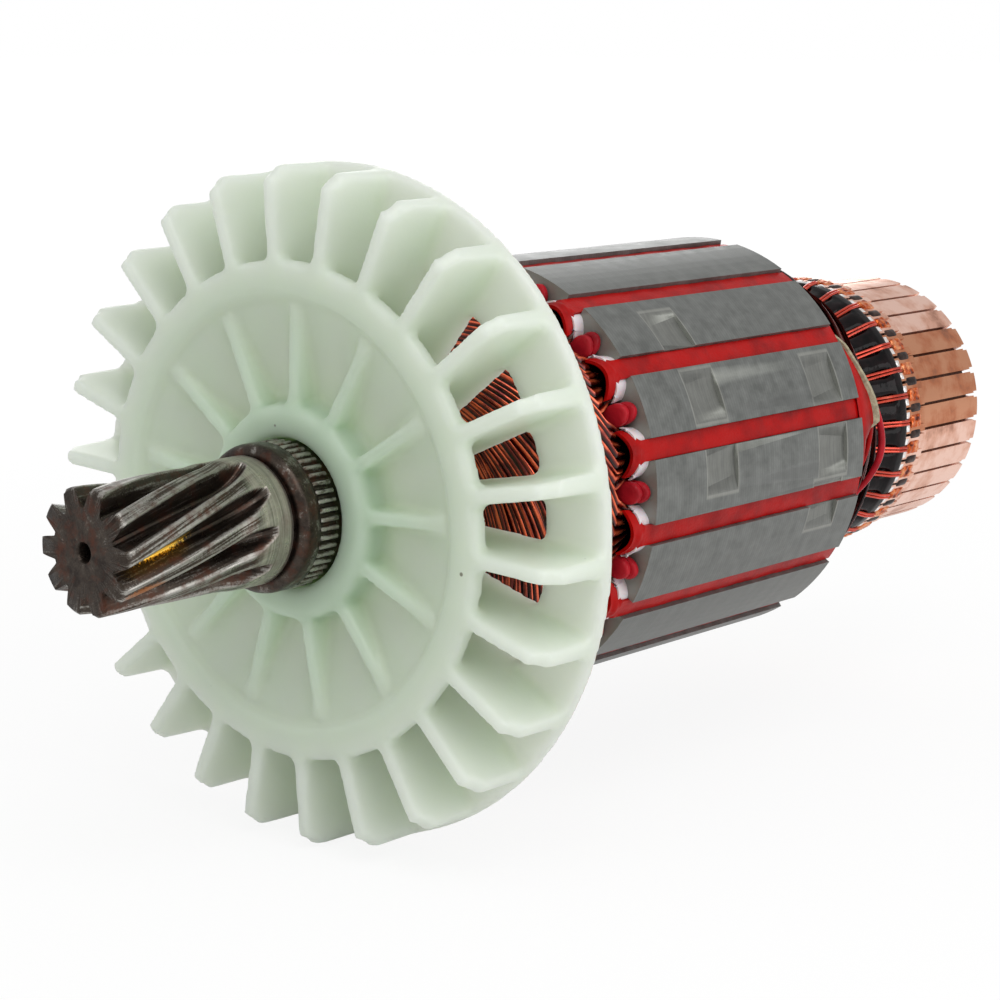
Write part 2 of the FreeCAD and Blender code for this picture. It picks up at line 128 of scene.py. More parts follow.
def round_axis(x: Array, radius: Array, degrees: Array) -> Array:
    """Points in metres at a place along the axis, a radius and an angle from the top."""
    a = np.radians(degrees)
    return points_at(x, radius * np.sin(a), radius * np.cos(a))


def smooth_step(value: Array, low: float, high: float) -> Array:
    """Zero below low, one above high, and 3t^2 - 2t^3 between."""
    t = np.clip((value - low) / (high - low), 0.0, 1.0)
    return t * t * (3.0 - 2.0 * t)


@dataclass
class Surface:
    """Points, four-cornered faces and named numbers at the points."""

    points: Array
    faces: Array
    values: dict[str, Array]


def grid(points: Array, wrap_rows: bool = False, closed_ends: bool = False,
         **values: Array | float) -> Surface:
    """Faces over a grid of points whose last column joins the first.

    Args:
        points: Rows by columns by three.
        wrap_rows: Join the last row to the first.
        closed_ends: Gather the first and the last row in a point each.
        values: Named numbers, rows by columns or what spreads to that.

    Returns:
        The surface; the merging of doubles closes its poles.
    """
    values = {key: np.broadcast_to(v, points.shape[:2]).astype(float) for key, v in values.items()}
    if closed_ends:
        first, last = (np.broadcast_to(row.mean(axis=1, keepdims=True), row.shape)
                       for row in (points[:1], points[-1:]))
        points = np.concatenate([first, points, last])
        values = {key: np.concatenate([v[:1], v, v[-1:]]) for key, v in values.items()}
    rows, columns = points.shape[:2]
    i = np.arange(rows if wrap_rows else rows - 1)[:, None]
    j = np.arange(columns)[None, :]
    i2, j2 = (i + 1) % rows, (j + 1) % columns
    faces = np.stack([i * columns + j, i * columns + j2, i2 * columns + j2, i2 * columns + j], axis=-1)
    flat = {key: v.reshape(-1) for key, v in values.items()}
    return Surface(points.reshape(-1, 3), faces.reshape(-1, 4), flat)


def slab(over: Array, under: Array, **values: Array) -> Surface:
    """A closed slab between two layers of points."""
    return grid(np.concatenate([over, under[:, ::-1]], axis=1), closed_ends=True, **values)


def square(rows: int, columns: int) -> tuple[Array, Array]:
    """A column and a row of numbers from minus one to one."""
    return np.linspace(-1.0, 1.0, rows)[:, None], np.linspace(-1.0, 1.0, columns)[None, :]


def revolved(profile: list[tuple[float, float]], count: int) -> Surface:
    """A closed profile of places along the axis and radii, carried round."""
    x, radius = np.array(profile).T[:, :, None]
    return grid(round_axis(x, radius, around(count)[None]), wrap_rows=True)


def join(surfaces: list[Surface]) -> Surface:
    """Several surfaces as one; a number that one of them lacks is zero there."""
    starts = np.cumsum([0] + [len(s.points) for s in surfaces[:-1]])
    names = sorted({key for s in surfaces for key in s.values})
    values = {key: np.concatenate([s.values.get(key, np.zeros(len(s.points))) for s in surfaces])
              for key in names}
    faces = np.concatenate([s.faces + start for s, start in zip(surfaces, starts)])
    return Surface(np.concatenate([s.points for s in surfaces]), faces, values)


def turned_copies(surface: Surface, degrees: Array, **values: Array) -> Surface:
    """Copies of a surface made at the top, turned round the axis to each angle.

    Args:
        surface: The surface to copy.
        degrees: One angle for each copy.
        values: One number for each copy, such as a seed for its colour.

    Returns:
        The copies as one surface.
    """
    a = np.radians(degrees)
    count, size = len(a), len(surface.points)
    x, y, z = (surface.points[:, k][None, :] for k in range(3))
    c, s = np.cos(a)[:, None], np.sin(a)[:, None]
    points = np.stack([np.broadcast_to(x, (count, size)), y * c + z * s, z * c - y * s], axis=-1)
    faces = surface.faces[None] + (np.arange(count) * size)[:, None, None]
    copied = {key: np.tile(v, count) for key, v in surface.values.items()}
    copied |= {key: np.repeat(v, size) for key, v in values.items()}
    return Surface(points.reshape(-1, 3), faces.reshape(-1, 4), copied)


def welded(mesh: bpy.types.Mesh, outwards: bool = False) -> bpy.types.Mesh:
    """Merge a mesh's doubled points and, if asked, turn its faces outwards."""
    work = bmesh.new()
    work.from_mesh(mesh)
    bmesh.ops.remove_doubles(work, verts=work.verts, dist=WELD)
    if outwards:
        bmesh.ops.recalc_face_normals(work, faces=work.faces)
    work.to_mesh(mesh)
    work.free()
    return mesh


def add_object(name: str, data: bpy.types.ID) -> bpy.types.Object:
    """A new object in the scene."""
    item = bpy.data.objects.new(name, data)
    bpy.context.scene.collection.objects.link(item)
    return item


def make_piece(name: str, surface: Surface, material: Material,
               replaces: tuple[str, ...] = (), sharp: float = 40.0) -> bpy.types.Object:
    """Put a surface into a mesh that rides on the object.

    Args:
        name: The piece's name.
        surface: What it is made of.
        material: Its finish.
        replaces: CAD nodes that it stands for.
        sharp: Edges that bend by more degrees than this stay sharp.

    Returns:
        The new object.
    """
    mesh = bpy.data.meshes.new(name)
    mesh.from_pydata(surface.points.tolist(), [], surface.faces.tolist())
    for key, value in surface.values.items():
        mesh.attributes.new(key, "FLOAT", "POINT").data.foreach_set("value", value)
    return finish_piece(name, welded(mesh, True), material, replaces, sharp)


def finish_piece(name: str, mesh: bpy.types.Mesh, material: Material,
                 replaces: tuple[str, ...], sharp: float) -> bpy.types.Object:
    """Shade a mesh, dress it and place it on the object; Args as in make_piece."""
    mesh.polygons.foreach_set("use_smooth", [True] * len(mesh.polygons))
    mesh.set_sharp_from_angle(angle=math.radians(sharp))
    mesh.materials.clear()
    mesh.materials.append(material)
    piece = add_object(name, mesh)
    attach(piece, "root")
    if replaces:
        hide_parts(*replaces)
    log.info("%s: %d faces", name, len(mesh.polygons))
    return piece


def dress(names: list[str], material: Material) -> None:
    """Give CAD nodes a finish in their material slots."""
    for name in names:
        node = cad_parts[name]
        for place in range(max(1, len(node.material_slots))):
            if not node.material_slots:
                node.data.materials.append(material)
            node.material_slots[place].link = "OBJECT"
            node.material_slots[place].material = material
    log.info("%s and %d more: dressed in %s", names[0], len(names) - 1, material.name)


def merged_copy(name: str) -> bpy.types.Mesh:
    """A copy of a CAD node's mesh with its doubled points merged."""
    return welded(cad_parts[name].data.copy())


def numbered(stem: str, count: int) -> list[str]:
    """The names of a row of CAD nodes."""
    return [f"{stem}_{i + 1:02d}" for i in range(count)]


# Finishes

class Paint:
    """A material in the making; each method adds a node and hands on the socket that comes out of it."""

    def __init__(self, name: str) -> None:
        """Start a material of this name."""
        self.material = bpy.data.materials.new(name)
        self.material.use_nodes = True
        self.tree = self.material.node_tree
        self.shader = self.tree.nodes["Principled BSDF"]
        self.mm = self.place(1.0, 1.0, 1.0)

    def add(self, kind: str, out: str | int = 0, settings: dict | None = None,
            inputs: dict | None = None) -> Socket:
        """Add a shader node and hand on one of its outputs."""
        return add_node(self.tree, "ShaderNode" + kind, settings, inputs).outputs[out]

    def place(self, x: float, y: float, z: float) -> Socket:
        """Object coordinates counted in millimetres, with a stretch for each axis."""
        where = self.add("TexCoord", "Object")
        return self.add("Mapping", inputs={"Vector": where, "Scale": (x / MM, y / MM, z / MM)})

    def axes(self, vector: Socket) -> list[Socket]:
        """The three numbers of a vector."""
        return list(add_node(self.tree, "ShaderNodeSeparateXYZ", inputs={"Vector": vector}).outputs)

    def noise(self, scale: float, detail: float, roughness: float = 0.5, at: Socket | None = None) -> Socket:
        """Cloudy noise, so many times per millimetre."""
        return self.add("TexNoise", "Fac", inputs={
            "Vector": self.mm if at is None else at, "Scale": scale, "Detail": detail, "Roughness": roughness})

    def attribute(self, name: str) -> Socket:
        """A number stored at the points."""
        return self.add("Attribute", "Fac", {"attribute_name": name})

    def math(self, operation: str, *values: Socket | float, clamp: bool = False) -> Socket:
        """A sum on numbers, kept between zero and one if asked."""
        return self.add("Math", 0, {"operation": operation, "use_clamp": clamp}, dict(enumerate(values)))

    def scaled(self, value: Socket, factor: float, plus: Socket | float, clamp: bool = False) -> Socket:
        """The value times the factor, plus another."""
        return self.math("MULTIPLY_ADD", value, factor, plus, clamp=clamp)

    def remap(self, value: Socket, low: float, high: float, first: float = 0.0, last: float = 1.0) -> Socket:
        """First below low, last above high, and a straight line between."""
        return self.add("MapRange", inputs={
            "Value": value, "From Min": low, "From Max": high, "To Min": first, "To Max": last})

    def ramp(self, value: Socket, *stops: tuple[float, str | float]) -> Socket:
        """Colours or numbers at places between zero and one."""
        return add_node(self.tree, "ShaderNodeValToRGB", inputs={"Fac": value}, stops=stops).outputs[0]

    def mix(self, share: Socket, first: Socket | str, second: Socket | str) -> Socket:
        """The first colour where the share is zero, the second where it is one."""
        return self.add("MixRGB", inputs={0: share, 1: first, 2: second})

    def done(self, inputs: dict, height: Socket | None = None, strength: float = 0.0,
             relief_mm: float = 0.0) -> Material:
        """Finish the material.

        Args:
            inputs: What the shader's sockets say.
            height: Relief that the light sees, if any.
            strength: How much of it is felt.
            relief_mm: Its height in millimetres.

        Returns:
            The material.
        """
        if height is not None:
            inputs["Normal"] = self.add("Bump", inputs={
                "Height": height, "Strength": strength, "Distance": relief_mm * MM})
        fill(self.tree, self.shader, inputs)
        return self.material


@dataclass(frozen=True)
class OiledSteel:
    """Case-hardened steel, greasy and old: dark brown, with bright worn edges and painted sheen on the teeth's
    lands.
    """

    grime_and_shade: str = "#2E2723"
    dull: str = "#4A423B"
    bare: str = "#A3A09A"
    honed: str = "#8F8C84"
    ground: str = "#CFC6BC"
    # Colour of the painted golden glint in one groove.
    grease: str = "#F4C552"
    stained: str = "#5A3528"
    rust: str = "#A8642E"
    hone_mm: float = 0.25

    def build(self) -> Material:
        """Grime and painted shade in the grooves, bare steel and painted sheen on worn places and lands, a
        painted golden glint in one groove, and rust stains.
        """
        p = Paint("case_hardened_steel")
        grain = p.add("CombineXYZ", inputs={"X": p.attribute("along"), "Y": p.attribute("lay")})
        streak = p.noise(1.0, 5.0, 0.6, at=grain)
        blotch = p.noise(0.45, 6.0, 0.65)
        fine = p.noise(4.0, 4.0, 0.7)
        # Painted light: rubbed lifts worn crests, the lands' painted sheen and the flanks' painted glints
        # toward bare steel; grooves stay at the grime and painted shade colour.
        rubbed = p.scaled(fine, 0.35, p.scaled(p.attribute("rubbed"), 0.42, streak))
        steel = p.ramp(rubbed, (0.58, self.grime_and_shade), (0.84, self.dull), (1.0, self.bare))
        brown = p.mix(p.ramp(blotch, (0.5, 0.0), (0.68, 0.75)), steel, self.stained)
        lathe = p.noise(1.0, 3.0, at=p.place(1.0 / self.hone_mm, 0.1, 0.1))
        journal = p.ramp(lathe, (0.3, self.honed), (0.7, self.ground))
        clean = p.math("MULTIPLY", p.attribute("ground"), p.scaled(blotch, -1.1, 1.35, clamp=True), clamp=True)
        rusted = p.ramp(p.scaled(fine, 0.8, p.attribute("rust")), (0.75, 0.0), (1.0, 0.8))
        # Painted reflection: a bright golden glint on one groove flank.
        glint_share = p.ramp(p.scaled(fine, 1.2, p.attribute("grease")), (0.85, 0.0), (1.0, 1.0))
        colour = p.mix(glint_share, p.mix(rusted, p.mix(clean, brown, journal), self.rust), self.grease)
        gloss = p.ramp(blotch, (0.35, 0.24), (0.7, 0.5))
        return p.done({"Base Color": colour, "Roughness": gloss, "Metallic": 0.9}, rubbed, 0.5, 0.08)


@dataclass(frozen=True)
class MouldedNylon:
    """Unfilled nylon, injection moulded: milky, pale green, deeper where it is thick; light goes into it."""

    body: str = "#D2DECC"
    # Painted shade: this darker colour stands for the shade on the recessed web.
    web: str = "#C8D7C0"
    thick: str = "#B4C9B1"
    speck: str = "#5E5A4C"
    rim: str = "#B99A5E"
    depth_mm: float = 10.0
    web_end: float = 22.0
    blades_start: float = 32.0
    web_slope: float = 0.2645
    web_cone: float = 14.61
    rim_r: float = 39.75
    rim_x: float = 17.6

    def build(self) -> Material:
        """Cloudy, by radius and by the height over the web's cone, with painted shade that darkens the web
        inside the blades; specks and a yellowed back edge.
        """
        p = Paint("moulded_nylon")
        x, y, z = p.axes(p.mm)
        square = p.math("MULTIPLY_ADD", z, z, p.math("MULTIPLY", y, y))
        # Painted shade: darker web inside 22 mm radius, blending to the lighter blades by 32 mm.
        thin = p.remap(square, self.web_end ** 2, self.blades_start ** 2)
        outer_share = p.scaled(p.noise(0.07, 3.0), 0.5, p.math("SUBTRACT", thin, 0.25), clamp=True)
        cone = p.scaled(p.math("SQRT", square), self.web_slope, x)
        proud = p.remap(cone, self.web_cone - 2.2, self.web_cone - 0.25, 1.0, 0.0)
        tone = p.mix(proud, p.mix(outer_share, self.web, self.body), self.thick)
        cell = p.add("TexVoronoi", "Distance", inputs={"Vector": p.mm, "Scale": 0.085})
        specked = p.mix(p.ramp(cell, (0.016, 0.85), (0.024, 0.0)), tone, self.speck)
        outer = p.math("GREATER_THAN", square, self.rim_r ** 2)
        edge = p.math("MULTIPLY", outer, p.math("GREATER_THAN", x, self.rim_x))
        return p.done({
            "Base Color": p.mix(edge, specked, self.rim), "Roughness": 0.42, "IOR": 1.53,
            "Subsurface Weight": 0.9, "Subsurface Radius": (1.0, 1.0, 0.85),
            "Subsurface Scale": self.depth_mm * MM,
        }, p.noise(1.1, 3.0, 0.6), 0.18, 0.1)


@dataclass(frozen=True)
class SheetSteel:
    """Stacked silicon steel, turned and varnished: dull grey with fine edges of sheets."""

    dark: str = "#60625F"
    light: str = "#787A77"
    gap: str = "#464745"
    scratch: str = "#70716C"
    fresh: str = "#86867F"
    edge: str = "#B4B3AA"
    front: str = "#B7B9B0"
    sheet_mm: float = 0.5
    cutter_r: float = 15.0
    cutter_at: float = 41.45
    half_cut: float = 3.2
    cuts: tuple[tuple[float, float], ...] = ()

    def build(self) -> Material:
        """Lines at each sheet, cloudy varnish, bright arcs where a cutter went below the outside."""
        p = Paint("electrical_sheet_steel")
        x, y, z = p.axes(p.mm)
        phase = p.math("DIVIDE", x, self.sheet_mm)
        tint = p.add("TexWhiteNoise", "Value", {"noise_dimensions": "1D"}, {"W": p.math("FLOOR", phase)})
        line = p.ramp(p.math("FRACT", phase), (0.0, 1.0), (0.2, 0.0), (0.85, 0.0), (1.0, 1.0))
        cloud = p.noise(0.5, 5.0, 0.6)
        steel = p.ramp(p.scaled(tint, 0.08, cloud), (0.36, self.dark), (0.7, self.light))
        faint = p.math("MULTIPLY", line, 0.3)
        colour = p.mix(faint, steel, self.gap)
        if self.cuts:
            deepest = self.inside_cuts(p, x, y, z)
            scratched = p.noise(1.0, 3.0, 0.7, at=p.place(2.6, 0.2, 0.2))
            cut = p.ramp(scratched, (0.35, self.scratch), (0.62, self.fresh))
            colour = p.mix(p.ramp(deepest, (0.9, 0.0), (0.98, 0.45)), colour, cut)
            border = p.ramp(deepest, (0.1, 0.0), (0.5, 0.32), (0.85, 0.32), (0.98, 0.0))
            colour = p.mix(border, colour, self.edge)
        ahead = p.math("MULTIPLY", p.axes(p.add("TexCoord", "Normal"))[0], -0.4, clamp=True)
        gloss = p.remap(cloud, 0.3, 0.7, 0.34, 0.5)
        return p.done({"Base Color": p.mix(ahead, colour, self.front), "Roughness": gloss, "Metallic": 0.45},
                      p.math("SUBTRACT", cloud, faint), 0.3, 0.05)

    def inside_cuts(self, p: Paint, x: Socket, y: Socket, z: Socket) -> Socket:
        """One inside a milled place, falling to zero past its border, by the cutter's cylinder and its width.

        Args:
            p: The material in the making.
            x: Place along the shaft in millimetres.
            y: Place to the side.
            z: Height.

        Returns:
            The highest value over all the cuts.
        """
        flat = p.add("CombineXYZ", inputs={"Y": y, "Z": z})
        values = []
        for at_x, degrees in self.cuts:
            a = math.radians(degrees)
            centre = (0.0, self.cutter_at * math.sin(a), self.cutter_at * math.cos(a))
            away = p.add("VectorMath", "Value", {"operation": "DISTANCE"}, {0: flat, 1: centre})
            depth = p.remap(away, self.cutter_r + 0.02, self.cutter_r + 0.28, 1.0, 0.0)
            side = p.math("ABSOLUTE", p.math("SUBTRACT", x, at_x))
            across = p.remap(side, self.half_cut, self.half_cut + 0.35, 1.0, 0.0)
            values.append(p.math("MINIMUM", depth, across))
        return reduce(lambda first, second: p.math("MAXIMUM", first, second), values)


@dataclass(frozen=True)
class RedVarnish:
    """Insulating varnish, dipped and baked: wet-looking red with runs in it."""

    name: str = "red_insulating_varnish"
    light: str = "#AA0806"
    dark: str = "#860709"
    roughness: float = 0.36
    run_mm: float = 1.6

    def build(self) -> Material:
        """Two reds in soft patches, small runs and a few bubbles."""
        p = Paint(self.name)
        tone = p.ramp(p.noise(0.25, 3.0), (0.3, self.dark), (0.55, self.light))
        run = p.noise(1.5, 3.0, at=p.place(0.4 / self.run_mm, 1.0 / self.run_mm, 1.0 / self.run_mm))
        return p.done({"Base Color": tone, "Roughness": self.roughness, "Specular IOR Level": 0.14},
                      p.scaled(p.noise(3.2, 2.0), 0.35, run), 0.25, 0.3)


@dataclass(frozen=True)
class SlotPaper:
    """Polyester film on paper, folded: dull white, stained by the varnish."""

    paper: str = "#E4D8DC"
    stain: str = "#A8545A"

    def build(self) -> Material:
        """Fibres, and varnish that has soaked in from below."""
        p = Paint("slot_liner_paper")
        soaked = p.ramp(p.scaled(p.attribute("deep"), 0.8, p.noise(0.6, 4.0)), (0.62, 0.0), (0.95, 1.0))
        return p.done({
            "Base Color": p.mix(soaked, self.paper, self.stain), "Roughness": 0.45,
            "Subsurface Weight": 0.2, "Subsurface Scale": 0.6 * MM,
        }, p.noise(5.0, 4.0, 0.7), 0.3, 0.05)


@dataclass(frozen=True)
class FibreBoard:
    """Vulcanised fibre, punched: tan-grey with soft specks."""

    light: str = "#B4AA8C"
    dark: str = "#7C735E"

    def build(self) -> Material:
        """Mottled by its fibres."""
        p = Paint("vulcanised_fibre")
        fibre = p.noise(1.4, 6.0, 0.7)
        tone = p.ramp(fibre, (0.35, self.dark), (0.65, self.light))
        return p.done({"Base Color": tone, "Roughness": 0.55}, fibre, 0.3, 0.08)


@dataclass(frozen=True)
class EnamelledWire:
    """Copper wire under red-brown enamel, with painted shade between turns and a painted highlight on each
    crown.
    """

    name: str = "enamelled_copper_wire"
    # deep is painted shade between turns; crown is a painted highlight.
    deep: str = "#1E0504"
    body: str = "#7A1C12"
    crown: str = "#F06C42"
    roughness: float = 0.2

    def build(self) -> Material:
        """Colour by height across each turn, painted shade low and a painted highlight on the crown, with
        patches along the wires.
        """
        p = Paint(self.name)
        patch = p.scaled(p.attribute("seed"), 0.35, p.noise(0.35, 4.0, 0.6))
        level = p.math("ADD", p.attribute("ridge"), p.scaled(patch, 0.9, -0.62), clamp=True)
        tone = p.ramp(level, (0.3, self.deep), (0.78, self.body), (1.0, self.crown))
        return p.done({
            "Base Color": tone, "Metallic": 0.7, "Roughness": self.roughness,
            "Coat Weight": 0.5, "Coat Roughness": 0.12,
        }, p.noise(2.2, 2.0), 0.25, 0.1)


@dataclass(frozen=True)
class BlackResin:
    """Potting resin or phenolic moulding: near black."""

    name: str = "black_potting_resin"
    colour: str = "#070506"
    edge: str = "#1C1012"
    roughness: float = 0.1
    grain_mm: float = 1.2
    shine: float = 0.16

    def build(self) -> Material:
        """Soft lumps under a glossy skin."""
        p = Paint(self.name)
        lump = p.noise(1.0 / self.grain_mm, 3.0)
        tone = p.ramp(lump, (0.4, self.colour), (0.75, self.edge))
        return p.done({"Base Color": tone, "Roughness": self.roughness, "Specular IOR Level": self.shine},
                      lump, 0.4, 0.2)


@dataclass(frozen=True)
class DrawnCopper:
    """Hard-drawn copper, turned in the lathe: pink where fresh, brown where it has aged."""

    name: str = "drawn_copper"
    fresh: str = "#F6CCBA"
    aged: str = "#E2AC94"
    brown: str = "#B07C66"
    cut_mm: float = 0.12

    def build(self) -> Material:
        """Soft patches of tarnish, under faint turning lines that run round the bars."""
        p = Paint(self.name)
        turning = p.noise(1.0, 4.0, 0.7, at=p.place(0.5 / self.cut_mm, 0.08, 0.08))
        patch = p.noise(0.22, 5.0, 0.55)
        tone = p.ramp(p.scaled(turning, 0.12, patch), (0.36, self.brown), (0.48, self.aged), (0.62, self.fresh))
        gloss = p.remap(patch, 0.3, 0.7, 0.42, 0.3)
        return p.done({"Base Color": tone, "Roughness": gloss, "Metallic": 0.85}, turning, 0.3, 0.03)


@dataclass(frozen=True)
class FusedCopper:
    """Wire ends fused into their hooks: rough, orange, with sparks of bare metal."""

    body: str = "#CC5A24"
    dark: str = "#5C2010"
    bright: str = "#F2A878"

    def build(self) -> Material:
        """Coarse crust of three copper tones."""
        p = Paint("fused_copper")
        crust = p.noise(0.9, 3.0, 0.55)
        tone = p.ramp(crust, (0.32, self.dark), (0.45, self.body), (0.66, self.bright))
        return p.done({"Base Color": tone, "Metallic": 0.8, "Roughness": 0.3}, crust, 0.6, 0.3)


@dataclass(frozen=True)
class GlintWhite:
    """Painted glints on the risers' front edges: nearly white pads, a painted highlight on their cut ends."""

    light: str = "#FFFFFF"
    dark: str = "#E6DAD2"

    def build(self) -> Material:
        """Small soft changes of tone."""
        p = Paint("painted_glint_white")
        tone = p.ramp(p.noise(2.0, 2.0), (0.35, self.dark), (0.6, self.light))
        return p.done({"Base Color": tone, "Metallic": 0.75, "Roughness": 0.3})


# Sub-assemblies

@dataclass
class ShaftWithPinion:
    """The helical pinion, ground journals, collar and knurl, turned as one shaft."""

    face_x: float = -23.2
    journal_x: float = -1.2
    tip_r: float = 7.2
    root_r: float = 4.9
    journal_r: float = 7.5
    teeth: int = 10
    phase: float = 18.0
    helix_deg_per_mm: float = 2.517
    tip_half: float = 5.9
    root_half: float = 15.6
    hob_r: float = 8.0
    runout_x: float = -7.2
    chamfer: float = 0.4
    per_tooth: int = 36
    worn: float = 0.3
    knurl_count: int = 50
    knurl_low: float = 8.28
    knurl_high: float = 8.7
    # Where the painted golden glint lies: place along x, angle, turn per mm, length and width.
    glint_patch: tuple[float, ...] = (-17.2, -88.3, 2.4, 3.8, 7.5)
    rust_patch: tuple[float, ...] = (-19.2, -124.0, 1.0, 3.6, 8.0)

    def from_tooth(self, degrees: Array) -> Array:
        """Degrees from the middle of the nearest tooth."""
        pitch = FULL_TURN / self.teeth
        return np.abs((degrees + pitch / 2.0) % pitch - pitch / 2.0)

    def tooth_profile(self, degrees: Array) -> Array:
        """Radius over the angle from a tooth's middle: a land, then a cosine flank to the root."""
        away = self.from_tooth(degrees)
        share = np.clip((away - self.tip_half) / (self.root_half - self.tip_half), 0.0, 1.0)
        flank = 0.55 * share + 0.45 * (1.0 - np.cos(share * np.pi)) / 2.0
        return self.tip_r + (self.root_r - self.tip_r) * flank

    def hob_lift(self, x: Array) -> Array:
        """How far the hob has left the groove: its circle, R - sqrt(R^2 - s^2), up to the journal."""
        rise = self.journal_r - self.root_r
        runout = math.sqrt(rise * (2.0 * self.hob_r - rise))
        s = np.clip(x - (self.journal_x - runout), 0.0, runout)
        return self.hob_r - np.sqrt(self.hob_r ** 2 - s ** 2)

    def pinion(self) -> Surface:
        """Teeth whose grid follows the helix, from the end face to the journal."""
        x = np.concatenate([[self.face_x], np.linspace(self.face_x + self.chamfer, self.runout_x - 0.2, 24),
                            np.linspace(self.runout_x, self.journal_x, 60)])[:, None]
        local = around(self.teeth * self.per_tooth)[None]
        raised = self.tooth_profile(local) + self.hob_lift(x)
        blend = np.clip(0.5 + (self.journal_r - raised) / (2.0 * self.worn), 0.0, 1.0)
        radius = self.journal_r + (raised - self.journal_r) * blend - self.worn * blend * (1.0 - blend)
        radius[0] = np.minimum(radius[0], self.tip_r - self.chamfer)
        radius[-1] = self.journal_r
        angle = self.phase + local + self.helix_deg_per_mm * (x - self.face_x)
        height = (radius - self.root_r) / (self.tip_r - self.root_r)
        crest = np.exp(-((self.from_tooth(local) - self.tip_half) / 3.0) ** 2) * smooth_step(height, 0.3, 0.7)
        land = smooth_step(height, 0.8, 0.98)
        flank = smooth_step(height, 0.0, 0.3) * (height < 0.6)
        # rubbed: worn crests, plus painted sheen on the lands and painted glints low on the flanks.
        outer = grid(round_axis(x, radius, angle),
                     rubbed=np.clip(0.45 * crest + 0.4 * land + 0.3 * flank, 0.0, 1.0),
                     ground=smooth_step(radius, 7.3, 7.46) * smooth_step(x, -4.6, -2.4),
                     # The painted golden glint fades out from one groove flank and stays off the lands.
                     grease=self.stain(x, angle, *self.glint_patch) * (height < 0.85),
                     rust=self.stain(x, angle, *self.rust_patch), lay=local * 0.45, along=0.12 * x)
        flat_r = radius[:1] * np.array([1.0, 0.62, 0.3])[:, None]
        flat_r[-1] = 1.2
        hole_x = self.face_x + np.array([0.0, 0.0, 0.0, 0.35, 3.0])[:, None]
        hole_r = np.concatenate([flat_r, np.full_like(flat_r[:2], 0.95)])
        face = grid(round_axis(hole_x, hole_r, angle[:1]),
                    rubbed=0.05, lay=0.4 * hole_r, along=0.03 * angle[:1])
        plug_r = np.stack([hole_r[-1], 0.0 * hole_r[-1]])
        return join([outer, face, grid(round_axis(hole_x[-1:], plug_r, angle[:1]))])

    @staticmethod
    def stain(x: Array, angle: Array, at_x: float, at_angle: float, slope: float, long: float,
              wide: float) -> Array:
        """A patch that fades as exp(-d^2) from its middle line, which turns by slope degrees per mm."""
        turn = (angle - at_angle - slope * (x - at_x) + 180.0) % FULL_TURN - 180.0
        return np.exp(-((x - at_x) / long) ** 2 - (turn / wide) ** 2)

    def turned_part(self) -> Surface:
        """Journals, relief, rounded collar and the long shaft: radius over x carried round."""
        quarter = np.linspace(0.0, np.pi / 2.0, 7)
        profile = np.array(
            [(self.journal_x, 7.5), (-0.6, 7.5), (0.6, 7.5), (1.1, 7.5), (1.2, 7.42), (1.25, 7.25), (1.7, 7.25)]
            + [(1.7 + 1.1 * (1.0 - math.cos(q)), 7.6 + 1.1 * math.sin(q)) for q in quarter]
            + [(3.6, 8.7), (4.3, 8.7), (4.4, 8.6), (4.4, 8.28), (18.0, 7.9), (18.0, 6.0), (60.0, 6.0),
               (110.0, 6.0), (136.9, 6.0), (137.0, 5.9), (137.0, 5.0), (140.0, 5.0), (145.0, 5.0),
               (148.4, 5.0), (149.0, 4.4), (149.0, 1.4), (148.6, 0.95), (146.0, 0.95), (146.0, 0.0)])
        x, radius = profile[:, :1], profile[:, 1:]
        angle = around(self.teeth * self.per_tooth)[None]
        return grid(round_axis(x, radius, angle),
                    ground=(x < 1.22) | ((x > 137.05) & (x < 148.3)),
                    rubbed=0.25 * ((x > 1.7) & (x < 4.45)), lay=0.06 * angle, along=0.6 * x)

    def knurl(self) -> Surface:
        """Serrations: a trapezoid wave round the collar's end."""
        fine = around(self.knurl_count * 10)[None]
        away = np.abs((fine * self.knurl_count / FULL_TURN + 0.5) % 1.0 - 0.5)
        crest = 1.0 - smooth_step(away, 0.16, 0.34)
        x = np.array([4.4, 4.45, 4.7, 6.9, 7.2])[:, None]
        top = np.array([0.0, 0.75, 1.0, 1.0, 1.0])[:, None] * crest
        radius = self.knurl_low + (self.knurl_high - self.knurl_low) * top
        # Serration crests lighter: worn, and partly a painted highlight.
        return grid(round_axis(x, radius, fine), rubbed=0.05 + 0.8 * top,
                    lay=0.3 * fine, along=0.5 * x)

    def make(self) -> None:
        """Build the shaft over its node."""
        surface = join([self.pinion(), self.turned_part(), self.knurl()])
        make_piece("shaft_dressed", surface, OiledSteel().build(), ("shaft",), sharp=50.0)


@dataclass
class CoolingFan:
    """The moulded fan: its solid with the soft corners that a mould gives."""

    voxel_mm: float = 0.53
    rounds: int = 2

    def make(self) -> None:
        """Remesh a merged copy of the solid and relax it, so that corners become fillets."""
        holder = add_object("fan_work", merged_copy("fan"))
        remesh = holder.modifiers.new("voxels", "REMESH")
        remesh.mode = "VOXEL"
        remesh.voxel_size = self.voxel_mm * MM
        mesh = bpy.data.meshes.new_from_object(holder.evaluated_get(bpy.context.evaluated_depsgraph_get()))
        bpy.data.objects.remove(holder)
        work = bmesh.new()
        work.from_mesh(mesh)
        for _ in range(self.rounds):
            bmesh.ops.smooth_vert(work, verts=work.verts, factor=0.5,
                                  use_axis_x=True, use_axis_y=True, use_axis_z=True)
        work.to_mesh(mesh)
        work.free()
        finish_piece("fan_dressed", mesh, MouldedNylon().build(), ("fan",), 80.0)


